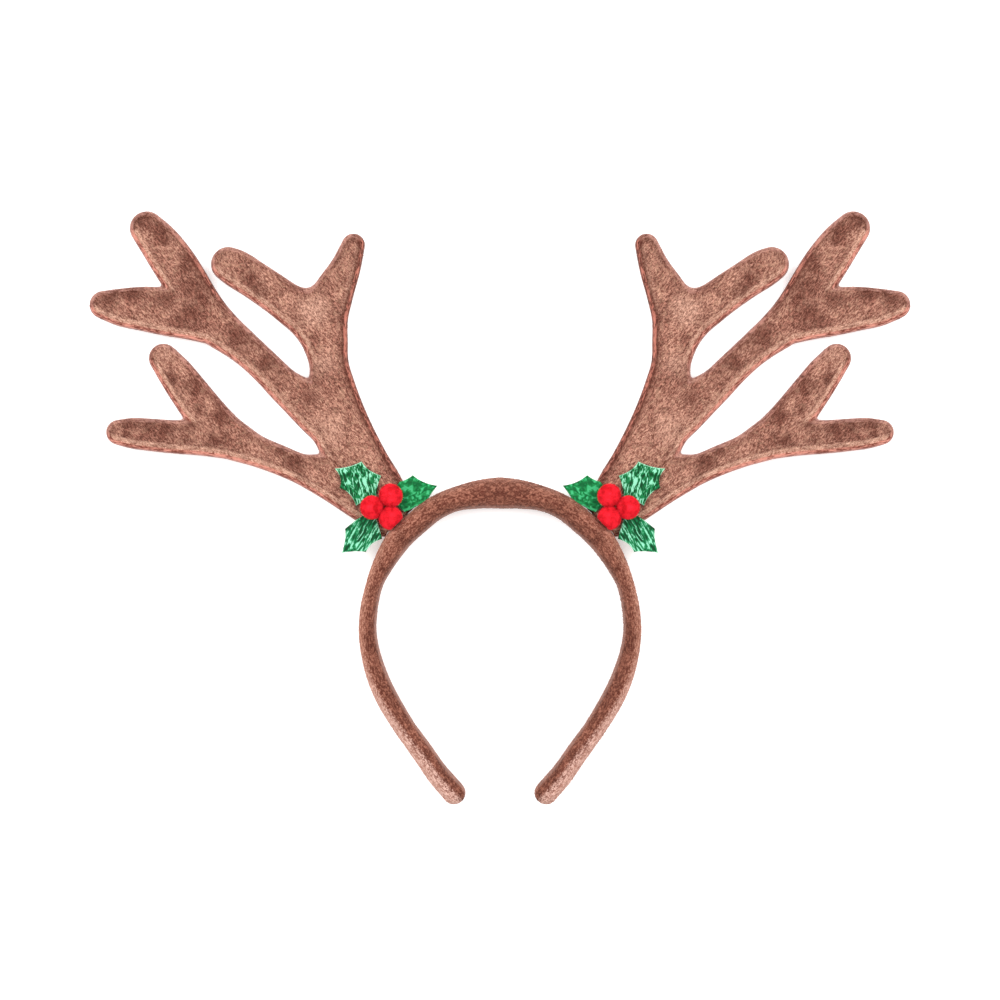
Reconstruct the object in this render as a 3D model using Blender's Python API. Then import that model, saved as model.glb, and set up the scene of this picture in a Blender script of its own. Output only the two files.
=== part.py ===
"""A reindeer antler headband, lying on its back on a flat surface.

A padded plush hoop, open at the bottom, carries two flat stuffed antlers on its shoulders, and a
sprig of holly with three leaves and three pompom berries sits at the foot of each antler. Metres,
+Z up: the front of the headband faces up, the antlers point along +Y and the hoop's free tips
along -Y. The origin is on the surface, under the middle of the whole headband.
"""

import math

import bmesh
import bpy
import numpy as np
from mathutils.geometry import delaunay_2d_cdt

# Driving dimensions, in metres
GAP = 0.0003  # left between pieces that touch

BAND_HALF_WIDTH = 0.0660  # middle line of the hoop, from its centre out to its widest point
BAND_DROP = 0.1498  # middle line of the hoop, from the crown down to the tips
BAND_THICK = 0.0158  # padding at the crown, inner side to outer side
BAND_DEPTH = 0.0220  # padding at the crown, front to back

ANTLER_REACH = 0.1570  # from an antler's seat on the hoop out to its side tines
ANTLER_RISE = 0.1620  # from the seat up to the top tines
TRUNK_HALF = 0.0150  # half the width of an antler's trunk
ANTLER_THICK = 0.0114  # front to back, where the filling is full
ANTLER_LIFT = 0.0020  # how far the foot rises off the surface, towards the hoop's middle
LIFT_RUN = 0.0600  # distance from the seat over which the lift dies out
WELT_WIDTH = 0.0030  # rolled edge outside the seam
WELT_THICK = 0.0036
SEAM_THICK = 0.0026  # front to back in the seam's groove
PAD_RUN = 0.0080  # distance from the seam over which the filling gets full

LEAF_LENGTH = 0.0250
LEAF_THICK = 0.0011
LEAF_CURL = 0.0030  # how far a leaf turns up at its own length from the berries
BERRY = 0.0120  # diameter of a pompom
TUFT_DEPTH = 0.0005  # from a pompom's tuft tips down to the dips between them

# Shares and counts
ANTLER_SEAT = 0.272  # an antler's seat, as a share of the way from the crown to a tip
SPRIG_SPOT = (0.61, 0.95)  # the sprig's middle, out and up from the seat, in trunk half widths
SECTION_SIDES = 16  # around the hoop's section
SECTION_POWER = 2.5  # 2 is an ellipse, more is squarer
BAND_STEP = 0.0085  # between sections along the hoop
CAP_ANGLES = (30.0, 58.0)  # sections of a rounded tip, in degrees towards its pole

# Rows of (out, down, thick, deep) along the middle line of half the hoop, crown first:
# shares of BAND_HALF_WIDTH, BAND_DROP, BAND_THICK and BAND_DEPTH.
BAND_ROWS = (
    (0.000, 0.000, 1.00, 1.00),
    (0.196, 0.007, 0.90, 1.00),
    (0.334, 0.021, 0.79, 1.00),
    (0.473, 0.047, 0.78, 1.00),
    (0.633, 0.101, 0.80, 1.00),
    (0.768, 0.157, 0.81, 0.98),
    (0.865, 0.224, 0.70, 0.95),
    (0.944, 0.297, 0.57, 0.93),
    (0.989, 0.386, 0.56, 0.88),
    (1.000, 0.473, 0.58, 0.84),
    (0.966, 0.560, 0.64, 0.80),
    (0.869, 0.672, 0.71, 0.76),
    (0.741, 0.769, 0.70, 0.74),
    (0.587, 0.866, 0.70, 0.71),
    (0.449, 0.951, 0.74, 0.68),
    (0.350, 1.000, 0.74, 0.66),
)

# The antler's limbs. A limb's first number is the fillet where it joins the ones before it, as a
# share of TRUNK_HALF. Its rows are (out, up, fat): the middle line's place from the seat, as
# shares of ANTLER_REACH and ANTLER_RISE, and the limb's half width as a share of TRUNK_HALF.
ANTLER_LIMBS = (
    (0.00, (  # trunk and inner tine
        (0.050, 0.072, 0.85),
        (0.086, 0.124, 0.99),
        (0.140, 0.221, 0.95),
        (0.201, 0.334, 0.98),
        (0.227, 0.444, 0.80),
        (0.240, 0.536, 0.66),
        (0.250, 0.597, 0.75),
        (0.258, 0.665, 0.83),
        (0.225, 0.749, 0.68),
        (0.186, 0.828, 0.51),
        (0.161, 0.897, 0.39),
    )),
    (0.47, (  # middle tine
        (0.291, 0.647, 0.53),
        (0.337, 0.693, 0.68),
        (0.391, 0.732, 0.65),
        (0.477, 0.789, 0.63),
        (0.543, 0.829, 0.62),
        (0.560, 0.838, 0.58),
    )),
    (0.10, (  # upper beam
        (0.182, 0.303, 0.79),
        (0.261, 0.372, 0.82),
        (0.329, 0.423, 0.69),
        (0.385, 0.465, 0.58),
        (0.430, 0.509, 0.55),
        (0.505, 0.576, 0.56),
        (0.593, 0.643, 0.68),
    )),
    (0.00, (  # upper side tine
        (0.610, 0.651, 0.67),
        (0.681, 0.681, 0.83),
        (0.759, 0.691, 0.80),
        (0.831, 0.700, 0.74),
        (0.896, 0.704, 0.64),
        (0.958, 0.712, 0.47),
    )),
    (0.10, (  # top tine
        (0.581, 0.653, 0.50),
        (0.656, 0.717, 0.74),
        (0.692, 0.778, 0.73),
        (0.738, 0.847, 0.73),
        (0.786, 0.911, 0.66),
        (0.820, 0.949, 0.57),
    )),
    (0.06, (  # lower beam
        (0.116, 0.126, 0.95),
        (0.205, 0.170, 0.83),
        (0.269, 0.189, 0.66),
        (0.316, 0.201, 0.53),
        (0.403, 0.235, 0.50),
        (0.479, 0.264, 0.54),
        (0.545, 0.294, 0.68),
    )),
    (0.00, (  # lower side tine
        (0.559, 0.295, 0.65),
        (0.643, 0.301, 0.60),
        (0.733, 0.304, 0.56),
        (0.817, 0.311, 0.54),
        (0.861, 0.315, 0.52),
        (0.910, 0.318, 0.42),
    )),
    (0.10, (  # lower top tine
        (0.551, 0.309, 0.55),
        (0.629, 0.374, 0.67),
        (0.690, 0.449, 0.64),
        (0.727, 0.498, 0.59),
        (0.767, 0.547, 0.49),
    )),
)

# Holly leaves. A row is (tip_out, tip_up, dip_out, dip_up): a spike of the outline, and the
# deepest point of the scallop that follows it, from the sprig's middle in shares of LEAF_LENGTH.
LEAVES = (
    (  # the leaf on the antler
        (0.99, 0.76, 0.71, 0.80),
        (0.46, 0.90, 0.31, 0.73),
        (0.07, 0.62, 0.14, 0.42),
        (0.17, 0.20, 0.37, 0.13),
        (0.57, 0.02, 0.71, 0.26),
        (0.90, 0.37, 0.88, 0.56),
    ),
    (  # the leaf that points to the crown, along the hoop
        (-0.30, 0.50, -0.42, 0.54),
        (-0.56, 0.63, -0.78, 0.49),
        (-1.05, 0.42, -0.95, 0.29),
        (-0.85, 0.13, -0.62, 0.00),
        (-0.40, -0.11, -0.25, 0.03),
        (-0.17, 0.18, -0.20, 0.34),
    ),
    (  # the leaf that hangs beside the hoop
        (0.33, -0.14, 0.52, -0.23),
        (0.79, -0.44, 0.79, -0.66),
        (0.85, -0.92, 0.60, -0.89),
        (0.37, -0.90, 0.25, -0.74),
        (0.05, -0.64, 0.10, -0.46),
        (0.15, -0.31, 0.21, -0.20),
    ),
)
SCALLOP_STEPS = 4  # edges along each scallop
CURL_POWER = 1.5  # 1 turns a leaf up evenly, more keeps its near end flatter

# Berries: (out, up) from the sprig's middle, in shares of BERRY
BERRIES = ((-0.27, 0.46), (0.50, -0.03), (-0.27, -0.46))
BERRY_SINK = 0.93  # height of a pompom's middle over what it rests on, in shares of its radius

# Fineness of the meshes
TRACE_STEP = 0.0010  # grid on which an outline is found
GRID_ROOM = 2.5 * TRUNK_HALF  # the grid starts this far before the seat
SLOPE_STEP = 0.00005  # over which a field's gradient is taken
LEAST_SLOPE = 0.5  # a gradient counts as at least this steep
LIMB_DENSITY = 5  # points on a limb's middle line for each of its rows
FACET_ERROR = 0.0003  # how far an edge may cut a curve's corner
LONGEST_EDGE = 0.0095
RING_DEPTHS = (0.4 * WELT_WIDTH, WELT_WIDTH, WELT_WIDTH + 0.3 * PAD_RUN, WELT_WIDTH + 0.8 * PAD_RUN)
RING_CLEAR = 0.0015  # rings end this far from the antler's foot
SHORTEST_RING = 2 * WELT_WIDTH
THIN_RIM = SEAM_THICK / 4  # a rim under this half height closes to an edge
LEAF_RING = 0.5  # size of a leaf's inner ring of points, as a share of its outline
BALL_STEPS = 3  # times that a ball's triangles are divided
COARSE_STEPS = 2  # the same for the coarser ball that has a corner at each tuft
SAME_WAY = 0.9999  # cosine between two directions that count as one
SHARP_ANGLE = 50.0  # degrees between faces over which an edge is drawn sharp
WELD = 1e-7  # points nearer than this are one
TINY = 1e-6  # lengths and cosines under this count as none

# Surfaces: name, colour, roughness and metallic share
PLUSH = ("brown plush", (0.376, 0.156, 0.107, 1.0), 0.9, 0.0)
HOLLY = ("green glitter cloth", (0.013, 0.190, 0.061, 1.0), 0.4, 0.3)
POMPOM = ("red pompom", (0.870, 0.017, 0.038, 1.0), 1.0, 0.0)


def clear_scene():
    """Removes every object that the scene starts with."""
    for obj in list(bpy.data.objects):
        bpy.data.objects.remove(obj, do_unlink=True)


def material(name, colour, roughness, metallic):
    """A plain surface with one colour."""
    made = bpy.data.materials.new(name)
    made.use_nodes = True
    shader = made.node_tree.nodes["Principled BSDF"]
    shader.inputs["Base Color"].default_value = colour
    shader.inputs["Roughness"].default_value = roughness
    shader.inputs["Metallic"].default_value = metallic
    made.diffuse_color = colour
    return made


def through(rows, count):
    """Evenly spaced points on a smooth curve through rows whose first columns are x and y."""
    rows = np.array(rows, dtype=float)
    spans = np.hypot(*np.diff(rows[:, :2], axis=0).T)
    knots = np.concatenate([[0.0], np.cumsum(spans)])
    slopes = np.gradient(rows, knots, axis=0)
    at = np.linspace(0.0, knots[-1], count)
    k = np.clip(np.searchsorted(knots, at, side="right") - 1, 0, len(rows) - 2)
    width = (knots[k + 1] - knots[k])[:, None]
    t = (at - knots[k])[:, None] / width
    start = (1 + 2 * t) * (1 - t) ** 2 * rows[k] + t * (1 - t) ** 2 * width * slopes[k]
    end = t * t * (3 - 2 * t) * rows[k + 1] + t * t * (t - 1) * width * slopes[k + 1]
    return start + end


def away(points, chain):
    """Signed distance in plan from points to a chain of discs (x, y, radius) and what links them."""
    best = np.full(points.shape[:-1], np.inf)
    for a, b in zip(chain[:-1], chain[1:]):
        along = b[:2] - a[:2]
        t = np.clip(((points - a[:2]) @ along) / (along @ along), 0.0, 1.0)
        offset = points - a[:2] - t[..., None] * along
        best = np.minimum(best, np.hypot(offset[..., 0], offset[..., 1]) - a[2] - t * (b[2] - a[2]))
    return best


def merged(a, b, fillet):
    """The union of two signed distances, with a fillet in the corner between them."""
    if fillet <= 0:
        return np.minimum(a, b)
    near = np.clip(fillet - np.abs(a - b), 0.0, None) / fillet
    return np.minimum(a, b) - near * near * fillet / 4


def band_line():
    """Sections (x, y, thick, deep) of half the hoop, from the crown at x = 0 to the tip at +X."""
    half = [
        (out * BAND_HALF_WIDTH, -down * BAND_DROP, thick * BAND_THICK, deep * BAND_DEPTH)
        for out, down, thick, deep in BAND_ROWS
    ]
    whole = [(-x, y, thick, deep) for x, y, thick, deep in reversed(half[1:])] + half
    rough_length = sum(math.dist(a[:2], b[:2]) for a, b in zip(half[:-1], half[1:]))
    steps = round(rough_length / BAND_STEP)
    line = through(whole, 2 * steps + 1)[steps:]
    line[0, 0] = 0.0
    return line


BAND = band_line()
BAND_CHAIN = np.column_stack([BAND[:, 0], BAND[:, 1], BAND[:, 2] / 2])


def outside_band(points):
    """Signed distance in plan from the hoop's widest contour, above 0 outside it."""
    return away(points, BAND_CHAIN)


def seat():
    """The point of the hoop's middle line under an antler's foot."""
    before, share = divmod(ANTLER_SEAT * (len(BAND) - 1), 1.0)
    before = int(before)
    return (1 - share) * BAND[before, :2] + share * BAND[before + 1, :2]


SEAT = seat()
SPRIG = SEAT + TRUNK_HALF * np.array(SPRIG_SPOT)


def limb_chains():
    """Each limb as its fillet and a dense chain of discs."""
    scale = np.array([ANTLER_REACH, ANTLER_RISE, TRUNK_HALF])
    start = np.array([SEAT[0], SEAT[1], 0.0])
    chains = []
    for fillet, rows in ANTLER_LIMBS:
        placed = np.array(rows) * scale + start
        chains.append((fillet * TRUNK_HALF, through(placed, LIMB_DENSITY * len(rows))))
    return chains


LIMBS = limb_chains()


def antler_field(points):
    """Signed distance in plan to the whole antler, as if its foot ran on into the hoop."""
    field = None
    for fillet, chain in LIMBS:
        limb = away(points, chain)
        field = limb if field is None else merged(field, limb, fillet)
    return field


def foot_cut(points):
    """Above 0 where the hoop takes the antler's place."""
    return GAP - outside_band(points)


def half_height(depth):
    """Half an antler's thickness at a depth inside its outline: welt, seam groove, filling."""
    bead = np.interp(
        depth, (0.0, RING_DEPTHS[0], WELT_WIDTH), (0.0, WELT_THICK / 2, SEAM_THICK / 2)
    )
    fill = np.clip((depth - WELT_WIDTH) / PAD_RUN, 0.0, 1.0)
    dome = SEAM_THICK / 2 + (ANTLER_THICK - SEAM_THICK) / 2 * np.sqrt(1 - (1 - fill) ** 2)
    return np.where(depth < WELT_WIDTH, bead, dome)


def antler_middle(points):
    """Height of the antler's middle plane: flat on the surface, lifted a little at the foot."""
    offset = points - SEAT
    near = np.clip(1 - np.hypot(offset[..., 0], offset[..., 1]) / LIFT_RUN, 0.0, 1.0)
    return ANTLER_THICK / 2 + ANTLER_LIFT * near * near * (3 - 2 * near)


def antler_front(points):
    """Height of the antler's full front, on which the sprig lies."""
    return antler_middle(points) + ANTLER_THICK / 2


def slope(field, points):
    """Gradient of a field in plan."""
    steps = (np.array([SLOPE_STEP, 0.0]), np.array([0.0, SLOPE_STEP]))
    rises = [field(points + step) - field(points - step) for step in steps]
    return np.stack(rises, axis=-1) / (2 * SLOPE_STEP)


def onto_level(field, points):
    """Moves points to where the field is zero, in two steps."""
    for _ in range(2):
        gradient = slope(field, points)
        size = np.maximum((gradient**2).sum(-1), LEAST_SLOPE**2)
        points = points - (field(points) / size)[..., None] * gradient
    return points


def crossings(values, xs, ys):
    """Where a zero line crosses the edges of a grid: the points, and which points it joins."""
    inside = values < 0
    links = {}
    spots = {}

    def spot(i, j, di, dj):
        a, b = values[i, j], values[i + di, j + dj]
        t = a / (a - b)
        spots[(i, j, di)] = (xs[i] + t * di * TRACE_STEP, ys[j] + t * dj * TRACE_STEP)
        return (i, j, di)

    corners = (inside[:-1, :-1], inside[1:, :-1], inside[:-1, 1:], inside[1:, 1:])
    total = sum(corner.astype(int) for corner in corners)
    for i, j in zip(*np.nonzero((total > 0) & (total < 4))):
        i, j = int(i), int(j)
        around = ((i, j, 1, 0), (i + 1, j, 0, 1), (i, j + 1, 1, 0), (i, j, 0, 1))
        met = [
            spot(a, b, da, db)
            for a, b, da, db in around
            if inside[a, b] != inside[a + da, b + db]
        ]
        for a, b in (met[:2], met[2:]):
            links.setdefault(a, []).append(b)
            links.setdefault(b, []).append(a)
            if len(met) == 2:
                break
    return links, spots


def plan_grid(low, high):
    """A grid over a box of the plan: its columns, its rows and its points."""
    xs = np.arange(low[0], high[0], TRACE_STEP)
    ys = np.arange(low[1], high[1], TRACE_STEP)
    return xs, ys, np.stack(np.meshgrid(xs, ys, indexing="ij"), axis=-1)


def closed_lines(values, xs, ys, field):
    """The closed lines where a field is zero, from its values on a grid, as points in order."""
    links, spots = crossings(values, xs, ys)
    lines = []
    unused = set(links)
    while unused:
        here = min(unused)
        loop = []
        while here is not None:
            unused.discard(here)
            loop.append(spots[here])
            here = next((key for key in links[here] if key in unused), None)
        lines.append(onto_level(field, np.array(loop)))
    return lines


def thinned(points):
    """The points of an open line that keep its shape, found by splitting it at the farthest."""
    keep = {0, len(points) - 1}
    todo = [(0, len(points) - 1)]
    while todo:
        a, b = todo.pop()
        if b - a < 2:
            continue
        along = points[b] - points[a]
        length = max(float(np.linalg.norm(along)), TINY)
        offset = points[a + 1 : b] - points[a]
        t = np.clip(offset @ along / length**2, 0.0, 1.0)
        error = np.linalg.norm(offset - t[:, None] * along, axis=1)
        if error.max() > FACET_ERROR:
            middle = a + 1 + int(error.argmax())
        elif length > LONGEST_EDGE:
            middle = (a + b) // 2
        else:
            continue
        keep.add(middle)
        todo += [(a, middle), (middle, b)]
    return points[sorted(keep)]


def thinned_loop(points):
    """A closed line with only the points that keep its shape."""
    start = int(points[:, 1].argmax())
    points = np.roll(points, -start, axis=0)
    far = int(np.linalg.norm(points - points[0], axis=1).argmax())
    first = thinned(points[: far + 1])
    second = thinned(np.vstack([points[far:], points[:1]]))
    return np.vstack([first[:-1], second[:-1]])


def clear_runs(points, clear):
    """The stretches of a closed line whose points are clear, and whether it is clear throughout."""
    if clear.all():
        return [points], True
    start = int(np.nonzero(~clear)[0][0])
    points = np.roll(points, -start, axis=0)
    clear = np.roll(clear, -start)
    edges = np.flatnonzero(np.diff(np.concatenate([[0], clear.astype(int), [0]])))
    return [points[a:b] for a, b in zip(edges[::2], edges[1::2])], False


class FlatPattern:
    """Points in plan with the half height over each, and the edges that the surface keeps."""

    def __init__(self):
        self.points = []
        self.heights = []
        self.edges = []

    def add(self, points, heights, closed):
        """Adds a line of points, joined by edges that the surface keeps."""
        first = len(self.points)
        self.points += [tuple(p) for p in points]
        self.heights += list(heights)
        last = len(self.points) - 1
        self.edges += [(k, k + 1) for k in range(first, last)]
        if closed:
            self.edges.append((last, first))
        return list(range(first, last + 1))

    def far_from_all(self, point, distance):
        """Whether a point is at least a distance from every point so far."""
        offset = np.array(self.points) - point
        return float(np.hypot(offset[:, 0], offset[:, 1]).min()) >= distance

    def faces(self, outline, height_at):
        """Triangles that fill the outline, with the points and heights in their order."""
        found = delaunay_2d_cdt(self.points, self.edges, [outline], 1, WELD)
        points = np.array([tuple(p) for p in found[0]])
        heights = [
            self.heights[ids[0]] if ids else float(height_at(point))
            for point, ids in zip(points, found[3])
        ]
        return points, np.array(heights), [tuple(face) for face in found[2]]


def closed_shell(points, front, back, faces):
    """Vertices and triangles of a body between two heights over the same triangles in plan."""
    joined = front - back < TINY
    verts = [(x, y, z) for (x, y), z in zip(points, front)]
    under = {}
    for k in range(len(points)):
        if joined[k]:
            under[k] = k
        else:
            under[k] = len(verts)
            verts.append((points[k][0], points[k][1], back[k]))
    shell = list(faces) + [tuple(under[k] for k in reversed(face)) for face in faces]
    sides = {(a, b) for face in faces for a, b in zip(face, face[1:] + face[:1])}
    for a, b in sorted(sides):
        if (b, a) in sides:
            continue
        rim = [a, under[a], under[b], b]
        rim = [k for n, k in enumerate(rim) if k not in rim[:n]]
        if len(rim) == 4:
            shell += [(rim[0], rim[1], rim[2]), (rim[0], rim[2], rim[3])]
        elif len(rim) == 3:
            shell.append(tuple(rim))
    return verts, shell


def antler_shell():
    """The antler on the +X side: a welt all round, a seam groove inside it, and the filling."""
    reach = np.array([ANTLER_REACH, ANTLER_RISE])
    xs, ys, grid = plan_grid(SEAT - GRID_ROOM, SEAT + reach + TRUNK_HALF)
    body = antler_field(grid)
    pattern = FlatPattern()
    edges = closed_lines(
        np.maximum(body, foot_cut(grid)), xs, ys, lambda p: np.maximum(antler_field(p), foot_cut(p))
    )
    edge = max(edges, key=len)
    edge = np.column_stack([edge, half_height(-antler_field(edge))])
    edge[edge[:, 2] < THIN_RIM, 2] = 0.0
    edge = thinned_loop(edge)
    outline = pattern.add(edge[:, :2], edge[:, 2], True)

    for depth in RING_DEPTHS:
        for line in closed_lines(body + depth, xs, ys, lambda p: antler_field(p) + depth):
            runs, closed = clear_runs(line, foot_cut(line) < -RING_CLEAR)
            for run in runs:
                if len(run) * TRACE_STEP < SHORTEST_RING:
                    continue
                run = thinned_loop(run) if closed else thinned(run)
                pattern.add(run, [half_height(depth)] * len(run), closed)

    for _, chain in LIMBS:
        for spot in chain[:, :2]:
            depth = -antler_field(spot)
            deep = depth > RING_DEPTHS[-2] + RING_CLEAR and foot_cut(spot) < -2 * RING_CLEAR
            if deep and pattern.far_from_all(spot, WELT_WIDTH):
                pattern.add([spot], [half_height(depth)], False)

    points, heights, faces = pattern.faces(outline, lambda p: half_height(-antler_field(p)))
    middle = antler_middle(points)
    return closed_shell(points, middle + heights, middle - heights, faces)


def pushed_clear(points):
    """Moves points in plan straight away from the hoop until they clear it."""
    clear = outside_band(points)
    gradient = slope(outside_band, points)
    size = np.maximum(np.hypot(gradient[..., 0], gradient[..., 1]), TINY)[..., None]
    return points + np.clip(GAP - clear, 0.0, None)[..., None] * gradient / size


def scallop(a, dip, b):
    """Points from a spike a, through the deepest point of a scallop, up to the next spike b."""
    t = np.arange(SCALLOP_STEPS)[:, None] / SCALLOP_STEPS
    return (1 - t) * (1 - 2 * t) * a + 4 * t * (1 - t) * dip + t * (2 * t - 1) * b


def leaf_rest(points):
    """Height of a leaf's back: on the antler's front, curling up beyond the berries."""
    reach = np.hypot(*(points - SPRIG).T) - BERRY
    beyond = np.clip(reach / LEAF_LENGTH, 0.0, None)
    return antler_front(points) + GAP + LEAF_CURL * beyond**CURL_POWER


def leaf_shell(rows):
    """A holly leaf of cut cloth, with spikes and hollow scallops."""
    rows = np.array(rows) * LEAF_LENGTH
    spikes = SPRIG + rows[:, :2]
    dips = SPRIG + rows[:, 2:]
    onward = np.roll(spikes, -1, axis=0)
    outline = np.vstack([scallop(a, dip, b) for a, dip, b in zip(spikes, dips, onward)])
    centre = spikes.mean(axis=0)
    outline = pushed_clear(outline)
    pattern = FlatPattern()
    edge = pattern.add(outline, [LEAF_THICK] * len(outline), True)
    inner = pushed_clear(centre + LEAF_RING * (outline[::2] - centre))
    pattern.add(inner, [LEAF_THICK] * len(inner), True)
    pattern.add([centre], [LEAF_THICK], False)
    points, heights, faces = pattern.faces(edge, lambda p: LEAF_THICK)
    back = leaf_rest(points)
    return closed_shell(points, back + heights, back, faces)


def berry_centres():
    """The middles of a sprig's pompoms."""
    plan = SPRIG + BERRY * np.array(BERRIES)
    rest = antler_front(plan) + 2 * GAP + LEAF_THICK
    return np.column_stack([plan, rest + BERRY_SINK * BERRY / 2])


def sphere(subdivisions):
    """Directions and faces of a ball of triangles."""
    bm = bmesh.new()
    bmesh.ops.create_icosphere(bm, subdivisions=subdivisions, radius=1.0)
    directions = np.array([tuple(v.co.normalized()) for v in bm.verts])
    faces = [tuple(v.index for v in f.verts) for f in bm.faces]
    bm.free()
    return directions, faces


def berry_shell(which):
    """A pompom: a round head with tufts all over, pressed against what it touches."""
    centres = berry_centres()
    centre = centres[which]
    ways, faces = sphere(BALL_STEPS)
    tuft_ways, _ = sphere(COARSE_STEPS)
    is_tuft = (ways @ tuft_ways.T).max(axis=1) > SAME_WAY
    reach = np.where(is_tuft, BERRY / 2, BERRY / 2 - TUFT_DEPTH)
    for other in np.delete(centres, which, axis=0):
        apart = np.linalg.norm(other - centre)
        towards = ways @ (other - centre) / apart
        wall = (apart - GAP) / 2
        walled = wall / np.maximum(towards, TINY)
        reach = np.where(towards > TINY, np.minimum(reach, walled), reach)
    verts = centre + ways * reach[:, None]
    verts[:, :2] = pushed_clear(verts[:, :2])
    floor = antler_front(verts[:, :2]) + 2 * GAP + LEAF_THICK
    verts[:, 2] = np.maximum(verts[:, 2], floor)
    return [tuple(v) for v in verts], faces


def section(thick, deep):
    """Offsets (out, up) round the hoop's section, with a flat strip on each of its four sides."""
    angles = (np.arange(SECTION_SIDES) + 0.5) * 2 * math.pi / SECTION_SIDES
    power = 2 / SECTION_POWER
    out = np.sign(np.cos(angles)) * np.abs(np.cos(angles)) ** power
    up = np.sign(np.sin(angles)) * np.abs(np.sin(angles)) ** power
    return np.column_stack([out / out.max() * thick / 2, up / up.max() * deep / 2])


def band_shell():
    """The padded hoop: sections along its middle line, with a rounded cap at each tip."""
    line = np.vstack([BAND[:0:-1] * (-1, 1, 1, 1), BAND])
    heading = np.gradient(line[:, :2], axis=0)
    heading /= np.hypot(heading[:, 0], heading[:, 1])[:, None]
    stations = [(p[:2], way, p[2], p[3], 1.0) for p, way in zip(line, heading)]
    for end, sign in ((0, -1), (-1, 1)):
        x, y, thick, deep = line[end]
        for angle in map(math.radians, CAP_ANGLES):
            spot = (x, y) + sign * thick / 2 * math.sin(angle) * heading[end]
            cap = (spot, heading[end], thick, deep, math.cos(angle))
            stations = [cap] + stations if sign < 0 else stations + [cap]
    verts = []
    for spot, way, thick, deep, scale in stations:
        outward = np.array([-way[1], way[0]])
        for out, up in scale * section(thick, deep):
            verts.append((*(spot + out * outward), deep / 2 + up))
    faces = []
    for ring in range(len(stations) - 1):
        for k in range(SECTION_SIDES):
            a = ring * SECTION_SIDES + k
            b = ring * SECTION_SIDES + (k + 1) % SECTION_SIDES
            faces.append((a, b, b + SECTION_SIDES, a + SECTION_SIDES))
    for end, sign in ((0, -1), (-1, 1)):
        pole = line[end, :2] + sign * line[end, 2] / 2 * heading[end]
        first = 0 if sign < 0 else (len(stations) - 1) * SECTION_SIDES
        verts.append((*pole, line[end, 3] / 2))
        for k in range(SECTION_SIDES):
            faces.append((first + k, first + (k + 1) % SECTION_SIDES, len(verts) - 1))
    return verts, faces


def add_object(name, shell, origin, surface, parent):
    """An object at its own origin, from vertices given in the hoop's frame."""
    verts, faces = shell
    mesh = bpy.data.meshes.new(name)
    mesh.from_pydata([tuple(np.array(v) - origin) for v in verts], [], faces)
    bm = bmesh.new()
    bm.from_mesh(mesh)
    bmesh.ops.recalc_face_normals(bm, faces=bm.faces)
    bm.to_mesh(mesh)
    bm.free()
    mesh.shade_smooth()
    mesh.set_sharp_from_angle(angle=math.radians(SHARP_ANGLE))
    mesh.materials.append(surface)
    obj = bpy.data.objects.new(name, mesh)
    obj.location = origin
    obj.parent = parent
    bpy.context.scene.collection.objects.link(obj)
    return obj


def mirrored(shell):
    """The same shell on the other side of the hoop."""
    verts, faces = shell
    return [(-x, y, z) for x, y, z in verts], [tuple(reversed(face)) for face in faces]


def build():
    """Builds every piece under one empty, and centres the headband over the origin."""
    clear_scene()
    plush = material(*PLUSH)
    glitter = material(*HOLLY)
    wool = material(*POMPOM)

    frame = bpy.data.objects.new("headband_frame", None)
    bpy.context.scene.collection.objects.link(frame)
    pieces = [add_object("headband", band_shell(), np.zeros(3), plush, frame)]
    foot = np.array([*SEAT, 0.0])
    sprig = np.array([*SPRIG, float(antler_front(SPRIG))])
    sided = [("antler", antler_shell(), foot, plush)]
    sided += [(f"leaf_{n}", leaf_shell(rows), sprig, glitter) for n, rows in enumerate(LEAVES, 1)]
    sided += [
        (f"berry_{n}", berry_shell(n - 1), centre, wool)
        for n, centre in enumerate(berry_centres(), 1)
    ]
    for name, shell, origin, surface in sided:
        kind, _, number = name.partition("_")
        tail = f"_{number}" if number else ""
        pieces.append(add_object(f"{kind}_right{tail}", shell, origin, surface, frame))
        other = mirrored(shell)
        flipped = origin * (-1, 1, 1)
        pieces.append(add_object(f"{kind}_left{tail}", other, flipped, surface, frame))

    ys = [piece.location.y + v.co.y for piece in pieces for v in piece.data.vertices]
    frame.location.y = -(min(ys) + max(ys)) / 2


build()
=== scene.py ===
"""The looks of a reindeer antler headband that lies on its back.

Plush antlers with a rolled welt, a padded plush hoop, holly leaves of crinkled metallic cloth and
fuzzy pompom berries. Metres, in the frame of the solids. The tables repeat the solids' own.
"""

import math

import bmesh
import bpy
import numpy as np
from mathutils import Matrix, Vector, noise
from mathutils.geometry import delaunay_2d_cdt


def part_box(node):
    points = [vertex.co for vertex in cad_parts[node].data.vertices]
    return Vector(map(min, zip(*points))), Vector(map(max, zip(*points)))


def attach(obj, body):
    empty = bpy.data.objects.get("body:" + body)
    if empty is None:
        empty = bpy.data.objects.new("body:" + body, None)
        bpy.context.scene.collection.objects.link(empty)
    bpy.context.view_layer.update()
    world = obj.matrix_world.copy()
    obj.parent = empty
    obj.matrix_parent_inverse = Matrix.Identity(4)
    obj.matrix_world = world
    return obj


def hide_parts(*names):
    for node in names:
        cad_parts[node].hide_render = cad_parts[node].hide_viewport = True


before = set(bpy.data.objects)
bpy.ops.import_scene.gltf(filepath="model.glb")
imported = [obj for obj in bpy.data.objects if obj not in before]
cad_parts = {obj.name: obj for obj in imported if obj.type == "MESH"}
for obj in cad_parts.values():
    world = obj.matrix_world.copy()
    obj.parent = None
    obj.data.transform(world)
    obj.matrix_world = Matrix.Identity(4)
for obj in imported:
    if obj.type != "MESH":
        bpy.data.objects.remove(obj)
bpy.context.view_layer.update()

# Sizes of the solids
GAP = 0.0003
BAND_HALF_WIDTH = 0.0660
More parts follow.
